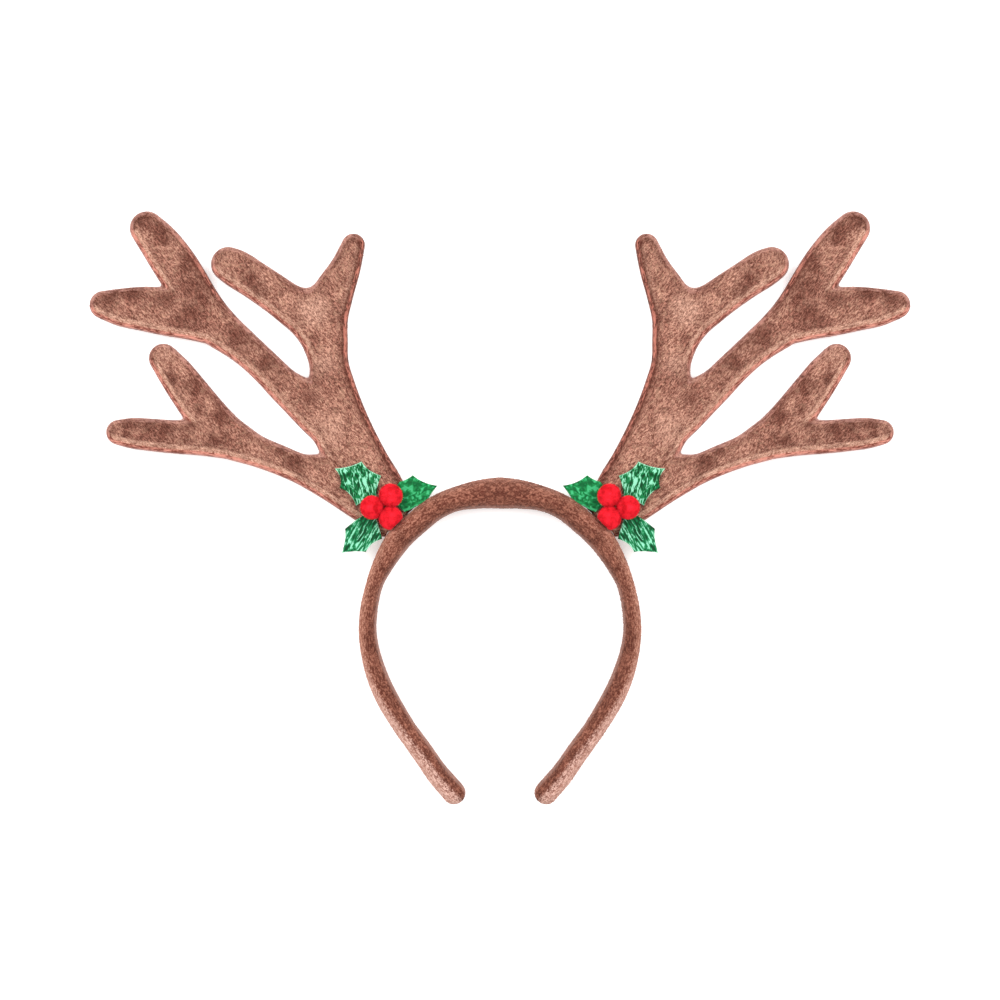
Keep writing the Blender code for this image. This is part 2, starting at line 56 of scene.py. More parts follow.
BAND_DROP = 0.1498
BAND_THICK = 0.0158
BAND_DEPTH = 0.0220
ANTLER_REACH = 0.1570
ANTLER_RISE = 0.1620
TRUNK_HALF = 0.0150
ANTLER_THICK = 0.0114
ANTLER_LIFT = 0.0020
LIFT_RUN = 0.0600
WELT_WIDTH = 0.0030
PAD_RUN = 0.0080
LEAF_LENGTH = 0.0250
LEAF_THICK = 0.0011
LEAF_CURL = 0.0030
CURL_POWER = 1.5
BERRY = 0.0120
BERRY_SINK = 0.93
ANTLER_SEAT = 0.272
SPRIG_SPOT = (0.61, 0.95)
SECTION_POWER = 2.5
BAND_STEP = 0.0085

# Rows of (out, down, thick, deep) along the middle line of half the hoop, as in the solids
BAND_ROWS = (
    (0.000, 0.000, 1.00, 1.00),
    (0.196, 0.007, 0.90, 1.00),
    (0.334, 0.021, 0.79, 1.00),
    (0.473, 0.047, 0.78, 1.00),
    (0.633, 0.101, 0.80, 1.00),
    (0.768, 0.157, 0.81, 0.98),
    (0.865, 0.224, 0.70, 0.95),
    (0.944, 0.297, 0.57, 0.93),
    (0.989, 0.386, 0.56, 0.88),
    (1.000, 0.473, 0.58, 0.84),
    (0.966, 0.560, 0.64, 0.80),
    (0.869, 0.672, 0.71, 0.76),
    (0.741, 0.769, 0.70, 0.74),
    (0.587, 0.866, 0.70, 0.71),
    (0.449, 0.951, 0.74, 0.68),
    (0.350, 1.000, 0.74, 0.66),
)

# Limbs as (fillet, rows of (out, up, fat)), as in the solids
ANTLER_LIMBS = (
    (0.00, (
        (0.050, 0.072, 0.85), (0.086, 0.124, 0.99), (0.140, 0.221, 0.95), (0.201, 0.334, 0.98),
        (0.227, 0.444, 0.80), (0.240, 0.536, 0.66), (0.250, 0.597, 0.75), (0.258, 0.665, 0.83),
        (0.225, 0.749, 0.68), (0.186, 0.828, 0.51), (0.161, 0.897, 0.39),
    )),
    (0.47, (
        (0.291, 0.647, 0.53), (0.337, 0.693, 0.68), (0.391, 0.732, 0.65), (0.477, 0.789, 0.63),
        (0.543, 0.829, 0.62), (0.560, 0.838, 0.58),
    )),
    (0.10, (
        (0.182, 0.303, 0.79), (0.261, 0.372, 0.82), (0.329, 0.423, 0.69), (0.385, 0.465, 0.58),
        (0.430, 0.509, 0.55), (0.505, 0.576, 0.56), (0.593, 0.643, 0.68),
    )),
    (0.00, (
        (0.610, 0.651, 0.67), (0.681, 0.681, 0.83), (0.759, 0.691, 0.80), (0.831, 0.700, 0.74),
        (0.896, 0.704, 0.64), (0.958, 0.712, 0.47),
    )),
    (0.10, (
        (0.581, 0.653, 0.50), (0.656, 0.717, 0.74), (0.692, 0.778, 0.73), (0.738, 0.847, 0.73),
        (0.786, 0.911, 0.66), (0.820, 0.949, 0.57),
    )),
    (0.06, (
        (0.116, 0.126, 0.95), (0.205, 0.170, 0.83), (0.269, 0.189, 0.66), (0.316, 0.201, 0.53),
        (0.403, 0.235, 0.50), (0.479, 0.264, 0.54), (0.545, 0.294, 0.68),
    )),
    (0.00, (
        (0.559, 0.295, 0.65), (0.643, 0.301, 0.60), (0.733, 0.304, 0.56), (0.817, 0.311, 0.54),
        (0.861, 0.315, 0.52), (0.910, 0.318, 0.42),
    )),
    (0.10, (
        (0.551, 0.309, 0.55), (0.629, 0.374, 0.67), (0.690, 0.449, 0.64), (0.727, 0.498, 0.59),
        (0.767, 0.547, 0.49),
    )),
)

# Rows of (tip_out, tip_up, dip_out, dip_up) of each holly leaf, as in the solids
LEAVES = (
    (
        (0.99, 0.76, 0.71, 0.80), (0.46, 0.90, 0.31, 0.73), (0.07, 0.62, 0.14, 0.42),
        (0.17, 0.20, 0.37, 0.13), (0.57, 0.02, 0.71, 0.26), (0.90, 0.37, 0.88, 0.56),
    ),
    (
        (-0.30, 0.50, -0.42, 0.54), (-0.56, 0.63, -0.78, 0.49), (-1.05, 0.42, -0.95, 0.29),
        (-0.85, 0.13, -0.62, 0.00), (-0.40, -0.11, -0.25, 0.03), (-0.17, 0.18, -0.20, 0.34),
    ),
    (
        (0.33, -0.14, 0.52, -0.23), (0.79, -0.44, 0.79, -0.66), (0.85, -0.92, 0.60, -0.89),
        (0.37, -0.90, 0.25, -0.74), (0.05, -0.64, 0.10, -0.46), (0.15, -0.31, 0.21, -0.20),
    ),
)
BERRIES = ((-0.27, 0.46), (0.50, -0.03), (-0.27, -0.46))

# Fineness
TRACE_STEP = 0.0007
EDGE_STEP = 0.0007
RING_STEP = 0.0010
FILL_STEP = 0.0011
LEAF_STEP = 0.00055
HOOP_STEP = 0.0009
HOOP_SIDES = 72
TIP_ANGLES = (8, 17, 26, 35, 44, 53, 62, 70, 77, 83)
SPIKE_STEPS = 14
BERRY_SUBDIVISIONS = 5
FOOT_MARGIN = 0.0004
SLOPE_SPAN = 0.0009

# Relief of the antlers' plush, each kind as (size of its lumps, height, seed)
FILL_EDGE = 0.0010
SOFT_RUN = 0.0040
PUCKER = (0.0034, 0.00022, 3.0)
PUCKER_DEPTH = 0.0042
PUCKER_SPREAD = 0.0016
SAGS = ((0.016, 0.00030, 7.0), (0.006, 0.00012, 11.0))
RAGGED = (0.0022, 0.00010, 5.0)
FRONT_ROOM = 0.0003
WARP = (0.0070, 0.0022)

# Relief of the hoop's plush, each kind as (length along the hoop, height)
PLEATS = (0.0024, 0.00012)
LONG_FOLDS = (0.0120, 0.00030)
GATHERS = (0.0140, 0.00055)
NUBS = (0.0016, 0.00014)
HOOP_SINK = 0.0002

# Relief of the leaves' cloth: the way, the length and width, and the height of the creases
CREASE_WAYS = (77, -20, -61)
CREASE_SIZE = (0.0042, 0.0011)
CREASE_HEIGHTS = (0.00032, 0.00018, 0.00032)
CLOTH_THICK = 0.00060
CRUMPLE = (0.0038, 0.00055, 12.0)
DIMPLES = (0.0013, 0.00014, 8.0)

# The berries' wool
WOOL_TRIM = 0.0006
WOOL_LUMP = 0.00018
PRESSED_GAP = 0.0001

# Pile: fibres as (length, width, upright share, disorder), and how many
ANTLER_PILE = (0.0020, 0.00040, 0.16, 0.16)
ANTLER_FIBRES = 36000
HOOP_PILE = (0.0013, 0.00032, 0.22, 0.22)
HOOP_FIBRES = 26000
WOOL_PILE = (0.0009, 0.00016, 1.0, 0.40)
WOOL_FIBRES = 9000
FUZZ = 0.00018
ROOT_SINK = 0.00012
LEAST_RISE = 0.12
FLOOR_ROOM = 0.00003

# Light and camera
SOFTBOX_SPOT = (0.65, 0.30, 1.05)
SOFTBOX_SIZE = 0.8
SOFTBOX_POWER = 9.5
ROOM_LIGHT = 0.75
FLOOR_GLOW = 0.35
FLOOR_HALF = 3.0
SENSOR = 36.0
LENS = 86.4
CAMERA_SPOT = (0.0, 0.00368, 1.208)

# Depths inside an antler's outline and half the thickness there: welt, groove, then filling
PROFILE = (
    (0.00000, 0.00000),
    (0.00012, 0.00070),
    (0.00035, 0.00120),
    (0.00075, 0.00160),
    (0.00120, 0.00180),
    (0.00165, 0.00172),
    (0.00205, 0.00140),
    (0.00235, 0.00100),
    (0.00260, 0.00080),
    (0.00290, 0.00120),
    (0.00325, 0.00190),
    (0.00375, 0.00262),
    (0.00450, 0.00350),
    (0.00550, 0.00430),
)

# The same where the edge faces up or out: a softer edge with hardly a groove
SOFT_PROFILE = (
    (0.00000, 0.00000),
    (0.00012, 0.00070),
    (0.00035, 0.00122),
    (0.00075, 0.00170),
    (0.00120, 0.00200),
    (0.00205, 0.00205),
    (0.00260, 0.00190),
    (0.00325, 0.00245),
    (0.00450, 0.00350),
    (0.00550, 0.00430),
)

# Patches of the plush as (out, up, radius, strength), in millimetres from the seat: trodden and
# dark where the strength is above 0, brushed up and pale where it is below
BLOTCHES = (
    (130, 157, 7, 1.0), (122, 152, 6, 0.8), (119, 146, 5, 0.7), (108, 136, 7, 0.8),
    (103, 126, 8, 1.0), (101, 121, 7, 0.8), (106, 112, 7, 0.8), (111, 106, 5, 0.6),
    (119, 116, 7, 0.6), (125, 112, 8, 0.4), (153, 115, 4, 0.6), (145, 118, 7, 0.8),
    (135, 121, 6, 0.8), (83, 99, 6, 0.7), (78, 95, 6, 0.9), (69, 85, 6, 0.8), (63, 79, 5, 0.5),
    (46, 69, 5, 0.8), (76, 129, 5, 0.8), (71, 123, 5, 1.0), (95, 139, 4, 0.3), (25, 147, 4, 0.9),
    (32, 138, 4, 0.6), (116, 80, 5, 0.8), (106, 74, 5, 1.0), (101, 63, 4, 0.8), (91, 58, 5, 0.8),
    (89, 48, 4, 0.9), (95, 46, 4, 0.8), (118, 51, 6, 1.0), (128, 55, 6, 0.8), (139, 52, 6, 0.7),
    (145, 51, 4, 0.6), (108, 51, 5, 1.0), (62, 42, 5, 0.7), (55, 36, 6, 0.9), (52, 31, 5, 0.5),
    (39, 38, 4, 0.6), (45, 112, 9, -0.7), (39, 85, 8, -0.5), (36, 53, 10, -0.5), (88, 140, 5, -0.3),
    (25, 30, 7, -0.3), (118, 91, 5, -0.4), (140, 104, 5, -0.4), (114, 130, 5, -0.2),
)


def linear(red, green, blue):
    """A colour of 0 to 255 steps as linear light."""
    steps = [c / 255 for c in (red, green, blue)]
    light = [c / 12.92 if c <= 0.04045 else ((c + 0.055) / 1.055) ** 2.4 for c in steps]
    return (*light, 1.0)


# The plan of the solids


def through(rows, count):
    """Evenly spaced points on a smooth curve through rows whose first columns are x and y."""
    rows = np.array(rows, dtype=float)
    spans = np.hypot(*np.diff(rows[:, :2], axis=0).T)
    knots = np.concatenate([[0.0], np.cumsum(spans)])
    slopes = np.gradient(rows, knots, axis=0)
    at = np.linspace(0.0, knots[-1], count)
    k = np.clip(np.searchsorted(knots, at, side="right") - 1, 0, len(rows) - 2)
    width = (knots[k + 1] - knots[k])[:, None]
    t = (at - knots[k])[:, None] / width
    start = (1 + 2 * t) * (1 - t) ** 2 * rows[k] + t * (1 - t) ** 2 * width * slopes[k]
    end = t * t * (3 - 2 * t) * rows[k + 1] + t * t * (t - 1) * width * slopes[k + 1]
    return start + end


def away(points, chain):
    """Signed distance in plan from points to a chain of discs (x, y, radius) and what links them."""
    best = np.full(points.shape[:-1], np.inf)
    for a, b in zip(chain[:-1], chain[1:]):
        along = b[:2] - a[:2]
        t = np.clip(((points - a[:2]) @ along) / (along @ along), 0.0, 1.0)
        offset = points - a[:2] - t[..., None] * along
        best = np.minimum(best, np.hypot(offset[..., 0], offset[..., 1]) - a[2] - t * (b[2] - a[2]))
    return best


def merged(a, b, fillet):
    """The union of two signed distances, with a fillet in the corner between them."""
    if fillet <= 0:
        return np.minimum(a, b)
    near = np.clip(fillet - np.abs(a - b), 0.0, None) / fillet
    return np.minimum(a, b) - near * near * fillet / 4


def band_line(step):
    """Sections (x, y, thick, deep) of half the hoop, from the crown at x = 0 to the tip at +X."""
    half = [
        (out * BAND_HALF_WIDTH, -down * BAND_DROP, thick * BAND_THICK, deep * BAND_DEPTH)
        for out, down, thick, deep in BAND_ROWS
    ]
    whole = [(-x, y, thick, deep) for x, y, thick, deep in reversed(half[1:])] + half
    rough_length = sum(math.dist(a[:2], b[:2]) for a, b in zip(half[:-1], half[1:]))
    steps = round(rough_length / step)
    line = through(whole, 2 * steps + 1)[steps:]
    line[0, 0] = 0.0
    return line


BAND = band_line(BAND_STEP)
BAND_CHAIN = np.column_stack([BAND[:, 0], BAND[:, 1], BAND[:, 2] / 2])
SHIFT = np.array([0.0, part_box("headband")[1].y - BAND_THICK / 2])


def outside_band(points):
    """Signed distance in plan from the hoop's widest contour, above 0 outside it."""
    return away(points, BAND_CHAIN)


def seat():
    """The point of the hoop's middle line under an antler's foot."""
    before, share = divmod(ANTLER_SEAT * (len(BAND) - 1), 1.0)
    before = int(before)
    return (1 - share) * BAND[before, :2] + share * BAND[before + 1, :2]


SEAT = seat()
SPRIG = SEAT + TRUNK_HALF * np.array(SPRIG_SPOT)


def limb_chains():
    """Each limb as its fillet and a dense chain of discs."""
    scale = np.array([ANTLER_REACH, ANTLER_RISE, TRUNK_HALF])
    start = np.array([SEAT[0], SEAT[1], 0.0])
    chains = []
    for fillet, rows in ANTLER_LIMBS:
        placed = np.array(rows) * scale + start
        chains.append((fillet * TRUNK_HALF, through(placed, 5 * len(rows))))
    return chains


LIMBS = limb_chains()


def antler_field(points):
    """Signed distance in plan to the whole antler, as if its foot ran on into the hoop."""
    field = None
    for fillet, chain in LIMBS:
        limb = away(points, chain)
        field = limb if field is None else merged(field, limb, fillet)
    return field


def foot_cut(points):
    """Above 0 where the hoop takes the antler's place."""
    return GAP - outside_band(points)


def antler_middle(points):
    """Height of the antler's middle plane: flat on the surface, lifted a little at the foot."""
    offset = points - SEAT
    near = np.clip(1 - np.hypot(offset[..., 0], offset[..., 1]) / LIFT_RUN, 0.0, 1.0)
    return ANTLER_THICK / 2 + ANTLER_LIFT * near * near * (3 - 2 * near)


def antler_front(points):
    """Height of the antler's full front, on which the sprig lies."""
    return antler_middle(points) + ANTLER_THICK / 2


def slope(field, points, step=0.00005):
    """Gradient of a field in plan."""
    steps = (np.array([step, 0.0]), np.array([0.0, step]))
    return np.stack([field(points + s) - field(points - s) for s in steps], axis=-1) / (2 * step)


def onto_level(field, points):
    """Moves points to where the field is zero."""
    for _ in range(2):
        gradient = slope(field, points)
        size = np.maximum((gradient**2).sum(-1), 0.25)
        points = points - (field(points) / size)[..., None] * gradient
    return points


def crossings(values, xs, ys):
    """Where a zero line crosses the edges of a grid: the points, and which points it joins."""
    inside = values < 0
    links = {}
    spots = {}

    def spot(i, j, di, dj):
        a, b = values[i, j], values[i + di, j + dj]
        t = a / (a - b)
        spots[(i, j, di)] = (xs[i] + t * di * TRACE_STEP, ys[j] + t * dj * TRACE_STEP)
        return (i, j, di)

    corners = (inside[:-1, :-1], inside[1:, :-1], inside[:-1, 1:], inside[1:, 1:])
    total = sum(corner.astype(int) for corner in corners)
    for i, j in zip(*np.nonzero((total > 0) & (total < 4))):
        i, j = int(i), int(j)
        around = ((i, j, 1, 0), (i + 1, j, 0, 1), (i, j + 1, 1, 0), (i, j, 0, 1))
        met = [
            spot(a, b, da, db)
            for a, b, da, db in around
            if inside[a, b] != inside[a + da, b + db]
        ]
        for a, b in (met[:2], met[2:]):
            links.setdefault(a, []).append(b)
            links.setdefault(b, []).append(a)
            if len(met) == 2:
                break
    return links, spots


def closed_lines(values, xs, ys, field):
    """The closed lines where a field is zero, from its values on a grid, as points in order."""
    links, spots = crossings(values, xs, ys)
    lines = []
    unused = set(links)
    while unused:
        here = min(unused)
        loop = []
        while here is not None:
            unused.discard(here)
            loop.append(spots[here])
            here = next((key for key in links[here] if key in unused), None)
        lines.append(onto_level(field, np.array(loop)))
    return lines


def resampled(line, step):
    """Evenly spaced points on a closed line."""
    ring = np.vstack([line, line[:1]])
    at = np.concatenate([[0.0], np.cumsum(np.hypot(*np.diff(ring, axis=0).T))])
    count = max(8, round(at[-1] / step))
    where = np.arange(count) * at[-1] / count
    return np.column_stack([np.interp(where, at, ring[:, 0]), np.interp(where, at, ring[:, 1])])


def even_grid(low, high, step):
    """Points of a grid of even triangles over a box."""
    xs = np.arange(low[0], high[0], step)
    ys = np.arange(low[1], high[1], step * 0.866)
    grid = np.stack(np.meshgrid(xs, ys, indexing="ij"), axis=-1)
    grid[:, ::2, 0] += step / 2
    return grid.reshape(-1, 2)


def from_outline(points, outline):
    """Distance from points to a closed outline."""
    nearest = np.full(len(points), np.inf)
    for p, q in zip(outline, np.roll(outline, -1, axis=0)):
        t = np.clip(((points - p) @ (q - p)) / ((q - p) @ (q - p)), 0, 1)
        nearest = np.minimum(nearest, np.hypot(*(points - p - t[:, None] * (q - p)).T))
    return nearest


def filled(outline, inner):
    """Triangles that fill a closed outline, using the inner points too."""
    points = [tuple(p) for p in np.vstack([outline, inner])]
    count = len(outline)
    edges = [(k, (k + 1) % count) for k in range(count)]
    found = delaunay_2d_cdt(points, edges, [list(range(count))], 1, 1e-7)
    return np.array([tuple(p) for p in found[0]]), [tuple(face) for face in found[2]]


def closed_shell(points, front, back, faces):
    """Vertices and triangles of a body between two heights, and each vertex's point in plan."""
    joined = front - back < 1e-6
    verts = [(x, y, z) for (x, y), z in zip(points, front)]
    source = list(range(len(points)))
    under = {}
    for k in range(len(points)):
        if joined[k]:
            under[k] = k
        else:
            under[k] = len(verts)
            verts.append((points[k][0], points[k][1], back[k]))
            source.append(k)
    shell = list(faces) + [tuple(under[k] for k in reversed(face)) for face in faces]
    sides = {(a, b) for face in faces for a, b in zip(face, face[1:] + face[:1])}
    for a, b in sorted(sides):
        if (b, a) in sides:
            continue
        rim = [a, under[a], under[b], b]
        rim = [k for n, k in enumerate(rim) if k not in rim[:n]]
        if len(rim) == 4:
            shell += [(rim[0], rim[1], rim[2]), (rim[0], rim[2], rim[3])]
        elif len(rim) == 3:
            shell.append(tuple(rim))
    return np.array(verts), np.array(shell), np.array(source)


def lumps(points, size, seed):
    """Smooth noise of about -1 to 1 at points, with lumps of a size."""
    start = Vector((seed, 2.3 * seed, 0.7))
    return np.array([noise.noise(Vector(p) / size + start) for p in points])


def raised(points, relief):
    """Heights of one kind of relief at points."""
    size, height, seed = relief
    return height * lumps(points, size, seed)


# Pieces


def place(name, verts, faces, attributes, surface, slot_name, mirror=False, smooth=True):
    """An object from vertices in the hoop's frame, which rides on the headband."""
    verts = np.array(verts, dtype=float)
    faces = [tuple(int(k) for k in face) for face in faces]
    if mirror:
        verts = verts * (-1, 1, 1)
        faces = [face[::-1] for face in faces]
    verts = verts + (SHIFT[0], SHIFT[1], 0.0)
    mesh = bpy.data.meshes.new(name)
    mesh.from_pydata(verts.tolist(), [], faces)
    for key, values in attributes.items():
        values = np.asarray(values, dtype=np.float32)
        if values.ndim == 1:
            mesh.attributes.new(key, "FLOAT", "POINT").data.foreach_set("value", values)
        else:
            mesh.attributes.new(key, "FLOAT_VECTOR", "POINT").data.foreach_set(
                "vector", values.ravel()
            )
    if smooth:
        mesh.shade_smooth()
    mesh.materials.append(surface)
    mesh.validate()
    piece = bpy.data.objects.new(name, mesh)
    bpy.context.scene.collection.objects.link(piece)
    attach(piece, "root")
    return piece


def face_normals(verts, faces):
    """Unit normals and areas of triangles."""
    a, b, c = (verts[faces[:, k]] for k in range(3))
    cross = np.cross(b - a, c - a)
    size = np.maximum(np.linalg.norm(cross, axis=1), 1e-15)
    return cross / size[:, None], size / 2


def pile(verts, faces, weights, lean, shape, count, seed, attributes, outside):
    """Short fibres rooted on triangles: closed slivers, with the attributes of their roots.

    lean is a direction per triangle, shape is (length, width, upright share, disorder), and outside
    tells how far a point in plan is from the outline, which fibres hardly pass.
    """
    length, width, upright, disorder = shape
    rng = np.random.default_rng(seed)
    normals, areas = face_normals(verts, faces)
    chance = areas * weights
    picked = rng.choice(len(faces), size=count, p=chance / chance.sum())
    r1, r2 = np.sqrt(rng.random(count)), rng.random(count)
    shares = np.column_stack([1 - r1, r1 * (1 - r2), r1 * r2])
    roots = np.einsum("nk,nkc->nc", shares, verts[faces[picked]])
    up = normals[picked]
    way = upright * up + (1 - upright) * lean[picked] + disorder * rng.normal(size=(count, 3))
    sunk = np.einsum("nc,nc->n", way, up)
    way = way + np.where(sunk < LEAST_RISE, LEAST_RISE - sunk, 0.0)[:, None] * up
    way /= np.linalg.norm(way, axis=1)[:, None]
    side = np.cross(way, up)
    side /= np.maximum(np.linalg.norm(side, axis=1), 1e-9)[:, None]
    rise = np.cross(side, way)
    reach = (length * rng.uniform(0.6, 1.25, count))[:, None]
    half = (width * rng.uniform(0.6, 1.2, count))[:, None] / 2
    base = roots - ROOT_SINK * up
    blades = np.stack(
        [base + half * side, base - half * side, base + half * rise, base + reach * way], axis=1
    )
    corner = 4 * np.arange(count)[:, None]
    order = np.array([(0, 2, 1), (0, 3, 2), (2, 3, 1), (1, 3, 0)])
    blade_faces = (corner[:, :, None] + order[None]).reshape(-1, 3)
    kept = blades[:, :, 2].min(axis=1) > FLOOR_ROOM
    kept &= outside(blades[:, 3, :2]) < FUZZ
    carried = {}
    for key, values in attributes.items():
        values = np.asarray(values, dtype=float)
        at_root = np.einsum("nk,nk...->n...", shares, values[faces[picked]])
        carried[key] = np.repeat(at_root[kept], 4, axis=0)
    shade = rng.random(count)[kept][:, None] + np.array([-0.12, -0.12, -0.05, 0.15])
    carried["shade"] = shade.ravel()
    return blades[kept].reshape(-1, 3), blade_faces[: 4 * int(kept.sum())], carried


def anywhere(points):
    """Takes every point as on the outline, for fibres that may end anywhere."""
    return np.zeros(points.shape[:-1])


def softened(values, spread):
    """A grid of values blurred over a number of its steps."""
    steps = np.arange(-3 * spread, 3 * spread + 1)
    weights = np.exp(-0.5 * (steps / spread) ** 2)
    weights /= weights.sum()
    for axis in (0, 1):
        padding = [(0, 0), (0, 0)]
        padding[axis] = (3 * spread, 3 * spread)
        padded = np.pad(values, padding, mode="edge")
        size = values.shape[axis]
        shifted = [np.take(padded, range(k, k + size), axis=axis) for k in range(len(steps))]
        values = sum(w * part for w, part in zip(weights, shifted))
    return values


def looked_up(values, xs, ys):
    """A field that reads a grid between its points."""

    def field(points):
        i = np.clip((points[..., 0] - xs[0]) / TRACE_STEP, 0, len(xs) - 1.001)
        j = np.clip((points[..., 1] - ys[0]) / TRACE_STEP, 0, len(ys) - 1.001)
        a, b = i.astype(int), j.astype(int)
        s, t = i - a, j - b
        near = (1 - t) * values[a, b] + t * values[a, b + 1]
        far = (1 - t) * values[a + 1, b] + t * values[a + 1, b + 1]
        return (1 - s) * near + s * far

    return field


def antler_surface():
    """The fine antler on the +X side, with each vertex's depth and the way its edge faces."""
    reach = np.array([ANTLER_REACH, ANTLER_RISE])
    low, high = SEAT - 2.5 * TRUNK_HALF, SEAT + reach + TRUNK_HALF
    xs = np.arange(low[0], high[0], TRACE_STEP)
    ys = np.arange(low[1], high[1], TRACE_STEP)
    grid = np.stack(np.meshgrid(xs, ys, indexing="ij"), axis=-1)
    body = softened(antler_field(grid), 1)
    antler_field_soft = looked_up(body, xs, ys)
    whole = closed_lines(
        np.maximum(body, foot_cut(grid)),
        xs,
        ys,
        lambda p: np.maximum(antler_field_soft(p), foot_cut(p)),
    )
    outline = resampled(max(whole, key=len), EDGE_STEP)
    rings = []
    for depth, _ in PROFILE[1:]:
        for line in closed_lines(body + depth, xs, ys, lambda p: antler_field_soft(p) + depth):
            line = resampled(line, RING_STEP)
            rings.append(line[foot_cut(line) < -FOOT_MARGIN])
    fill = even_grid(low, high, FILL_STEP)
    deep = -antler_field_soft(fill) > PROFILE[-1][0] + 0.4 * FILL_STEP
    deep &= foot_cut(fill) < -1.5 * FOOT_MARGIN
    rings.append(fill[deep])
    points, faces = filled(outline, np.vstack(rings))
    depth = np.clip(-antler_field_soft(points), 0.0, None)
    gradient = slope(antler_field_soft, points, SLOPE_SPAN)
    gradient /= np.maximum(np.hypot(gradient[:, 0], gradient[:, 1]), 1e-6)[:, None]
    low = np.clip((0.25 - gradient[:, 1]) / 0.7, 0.0, 1.0)
    inner = np.clip((-0.25 - gradient[:, 0]) / 0.5, 0.0, 1.0)
    inner *= np.clip((0.80 - gradient[:, 1]) / 0.3, 0.0, 1.0)
    facing = np.maximum(0.65 * low, inner)

    table, soft_table = np.array(PROFILE), np.array(SOFT_PROFILE)
    rolled = np.interp(depth, table[:, 0], table[:, 1])
    plain = np.interp(depth, soft_table[:, 0], soft_table[:, 1])
    half = plain + (0.30 + 0.70 * facing) * (rolled - plain)
    fill = np.clip((depth - WELT_WIDTH) / PAD_RUN, 0.0, 1.0)
    dome = FILL_EDGE + (ANTLER_THICK / 2 - FILL_EDGE) * np.sqrt(1 - (1 - fill) ** 2)
    half = np.where(depth > PROFILE[-1][0], np.maximum(dome, PROFILE[-1][1]), half)
    flat = np.column_stack([points, np.zeros(len(points))])
    soft = np.clip((depth - WELT_WIDTH) / SOFT_RUN, 0.0, 1.0)
    near_seam = np.exp(-((depth - PUCKER_DEPTH) / PUCKER_SPREAD) ** 2)
    pucker = raised(flat, PUCKER) * near_seam
    sag = raised(flat, SAGS[0]) + raised(flat, SAGS[1])
    front = half + soft * sag + pucker + np.where(half > 0.0005, raised(flat, RAGGED), 0.0)
    back = half + 0.5 * soft * sag + pucker
    front = np.minimum(front, ANTLER_THICK / 2 + FRONT_ROOM)
    back = np.minimum(back, ANTLER_THICK / 2)
    middle = antler_middle(points)
    verts, shell, source = closed_shell(points, middle + front, middle - back, faces)
    warped = points - SEAT + np.column_stack([raised(flat, (*WARP, seed)) for seed in (13.0, 17.0)])
    worn = np.zeros(len(points))
    for out, rise, radius, strength in BLOTCHES:
        apart = np.hypot(*(warped - (out / 1000, rise / 1000)).T)
        patch = strength * np.exp(-((apart / (radius / 1000)) ** 2))
        worn = np.where(np.abs(patch) > np.abs(worn), patch, worn)
    # low and inner tell which way the edge faces, down or inward; the plush's colour uses them for
    # its painted light and shade along the welt.
    carried = {
        "edge": depth[source] * 1000,
        "low": low[source],
        "inner": inner[source],
        "worn": worn[source],
        "shade": np.full(len(source), 0.30),
    }
    return verts, shell, carried, antler_field_soft


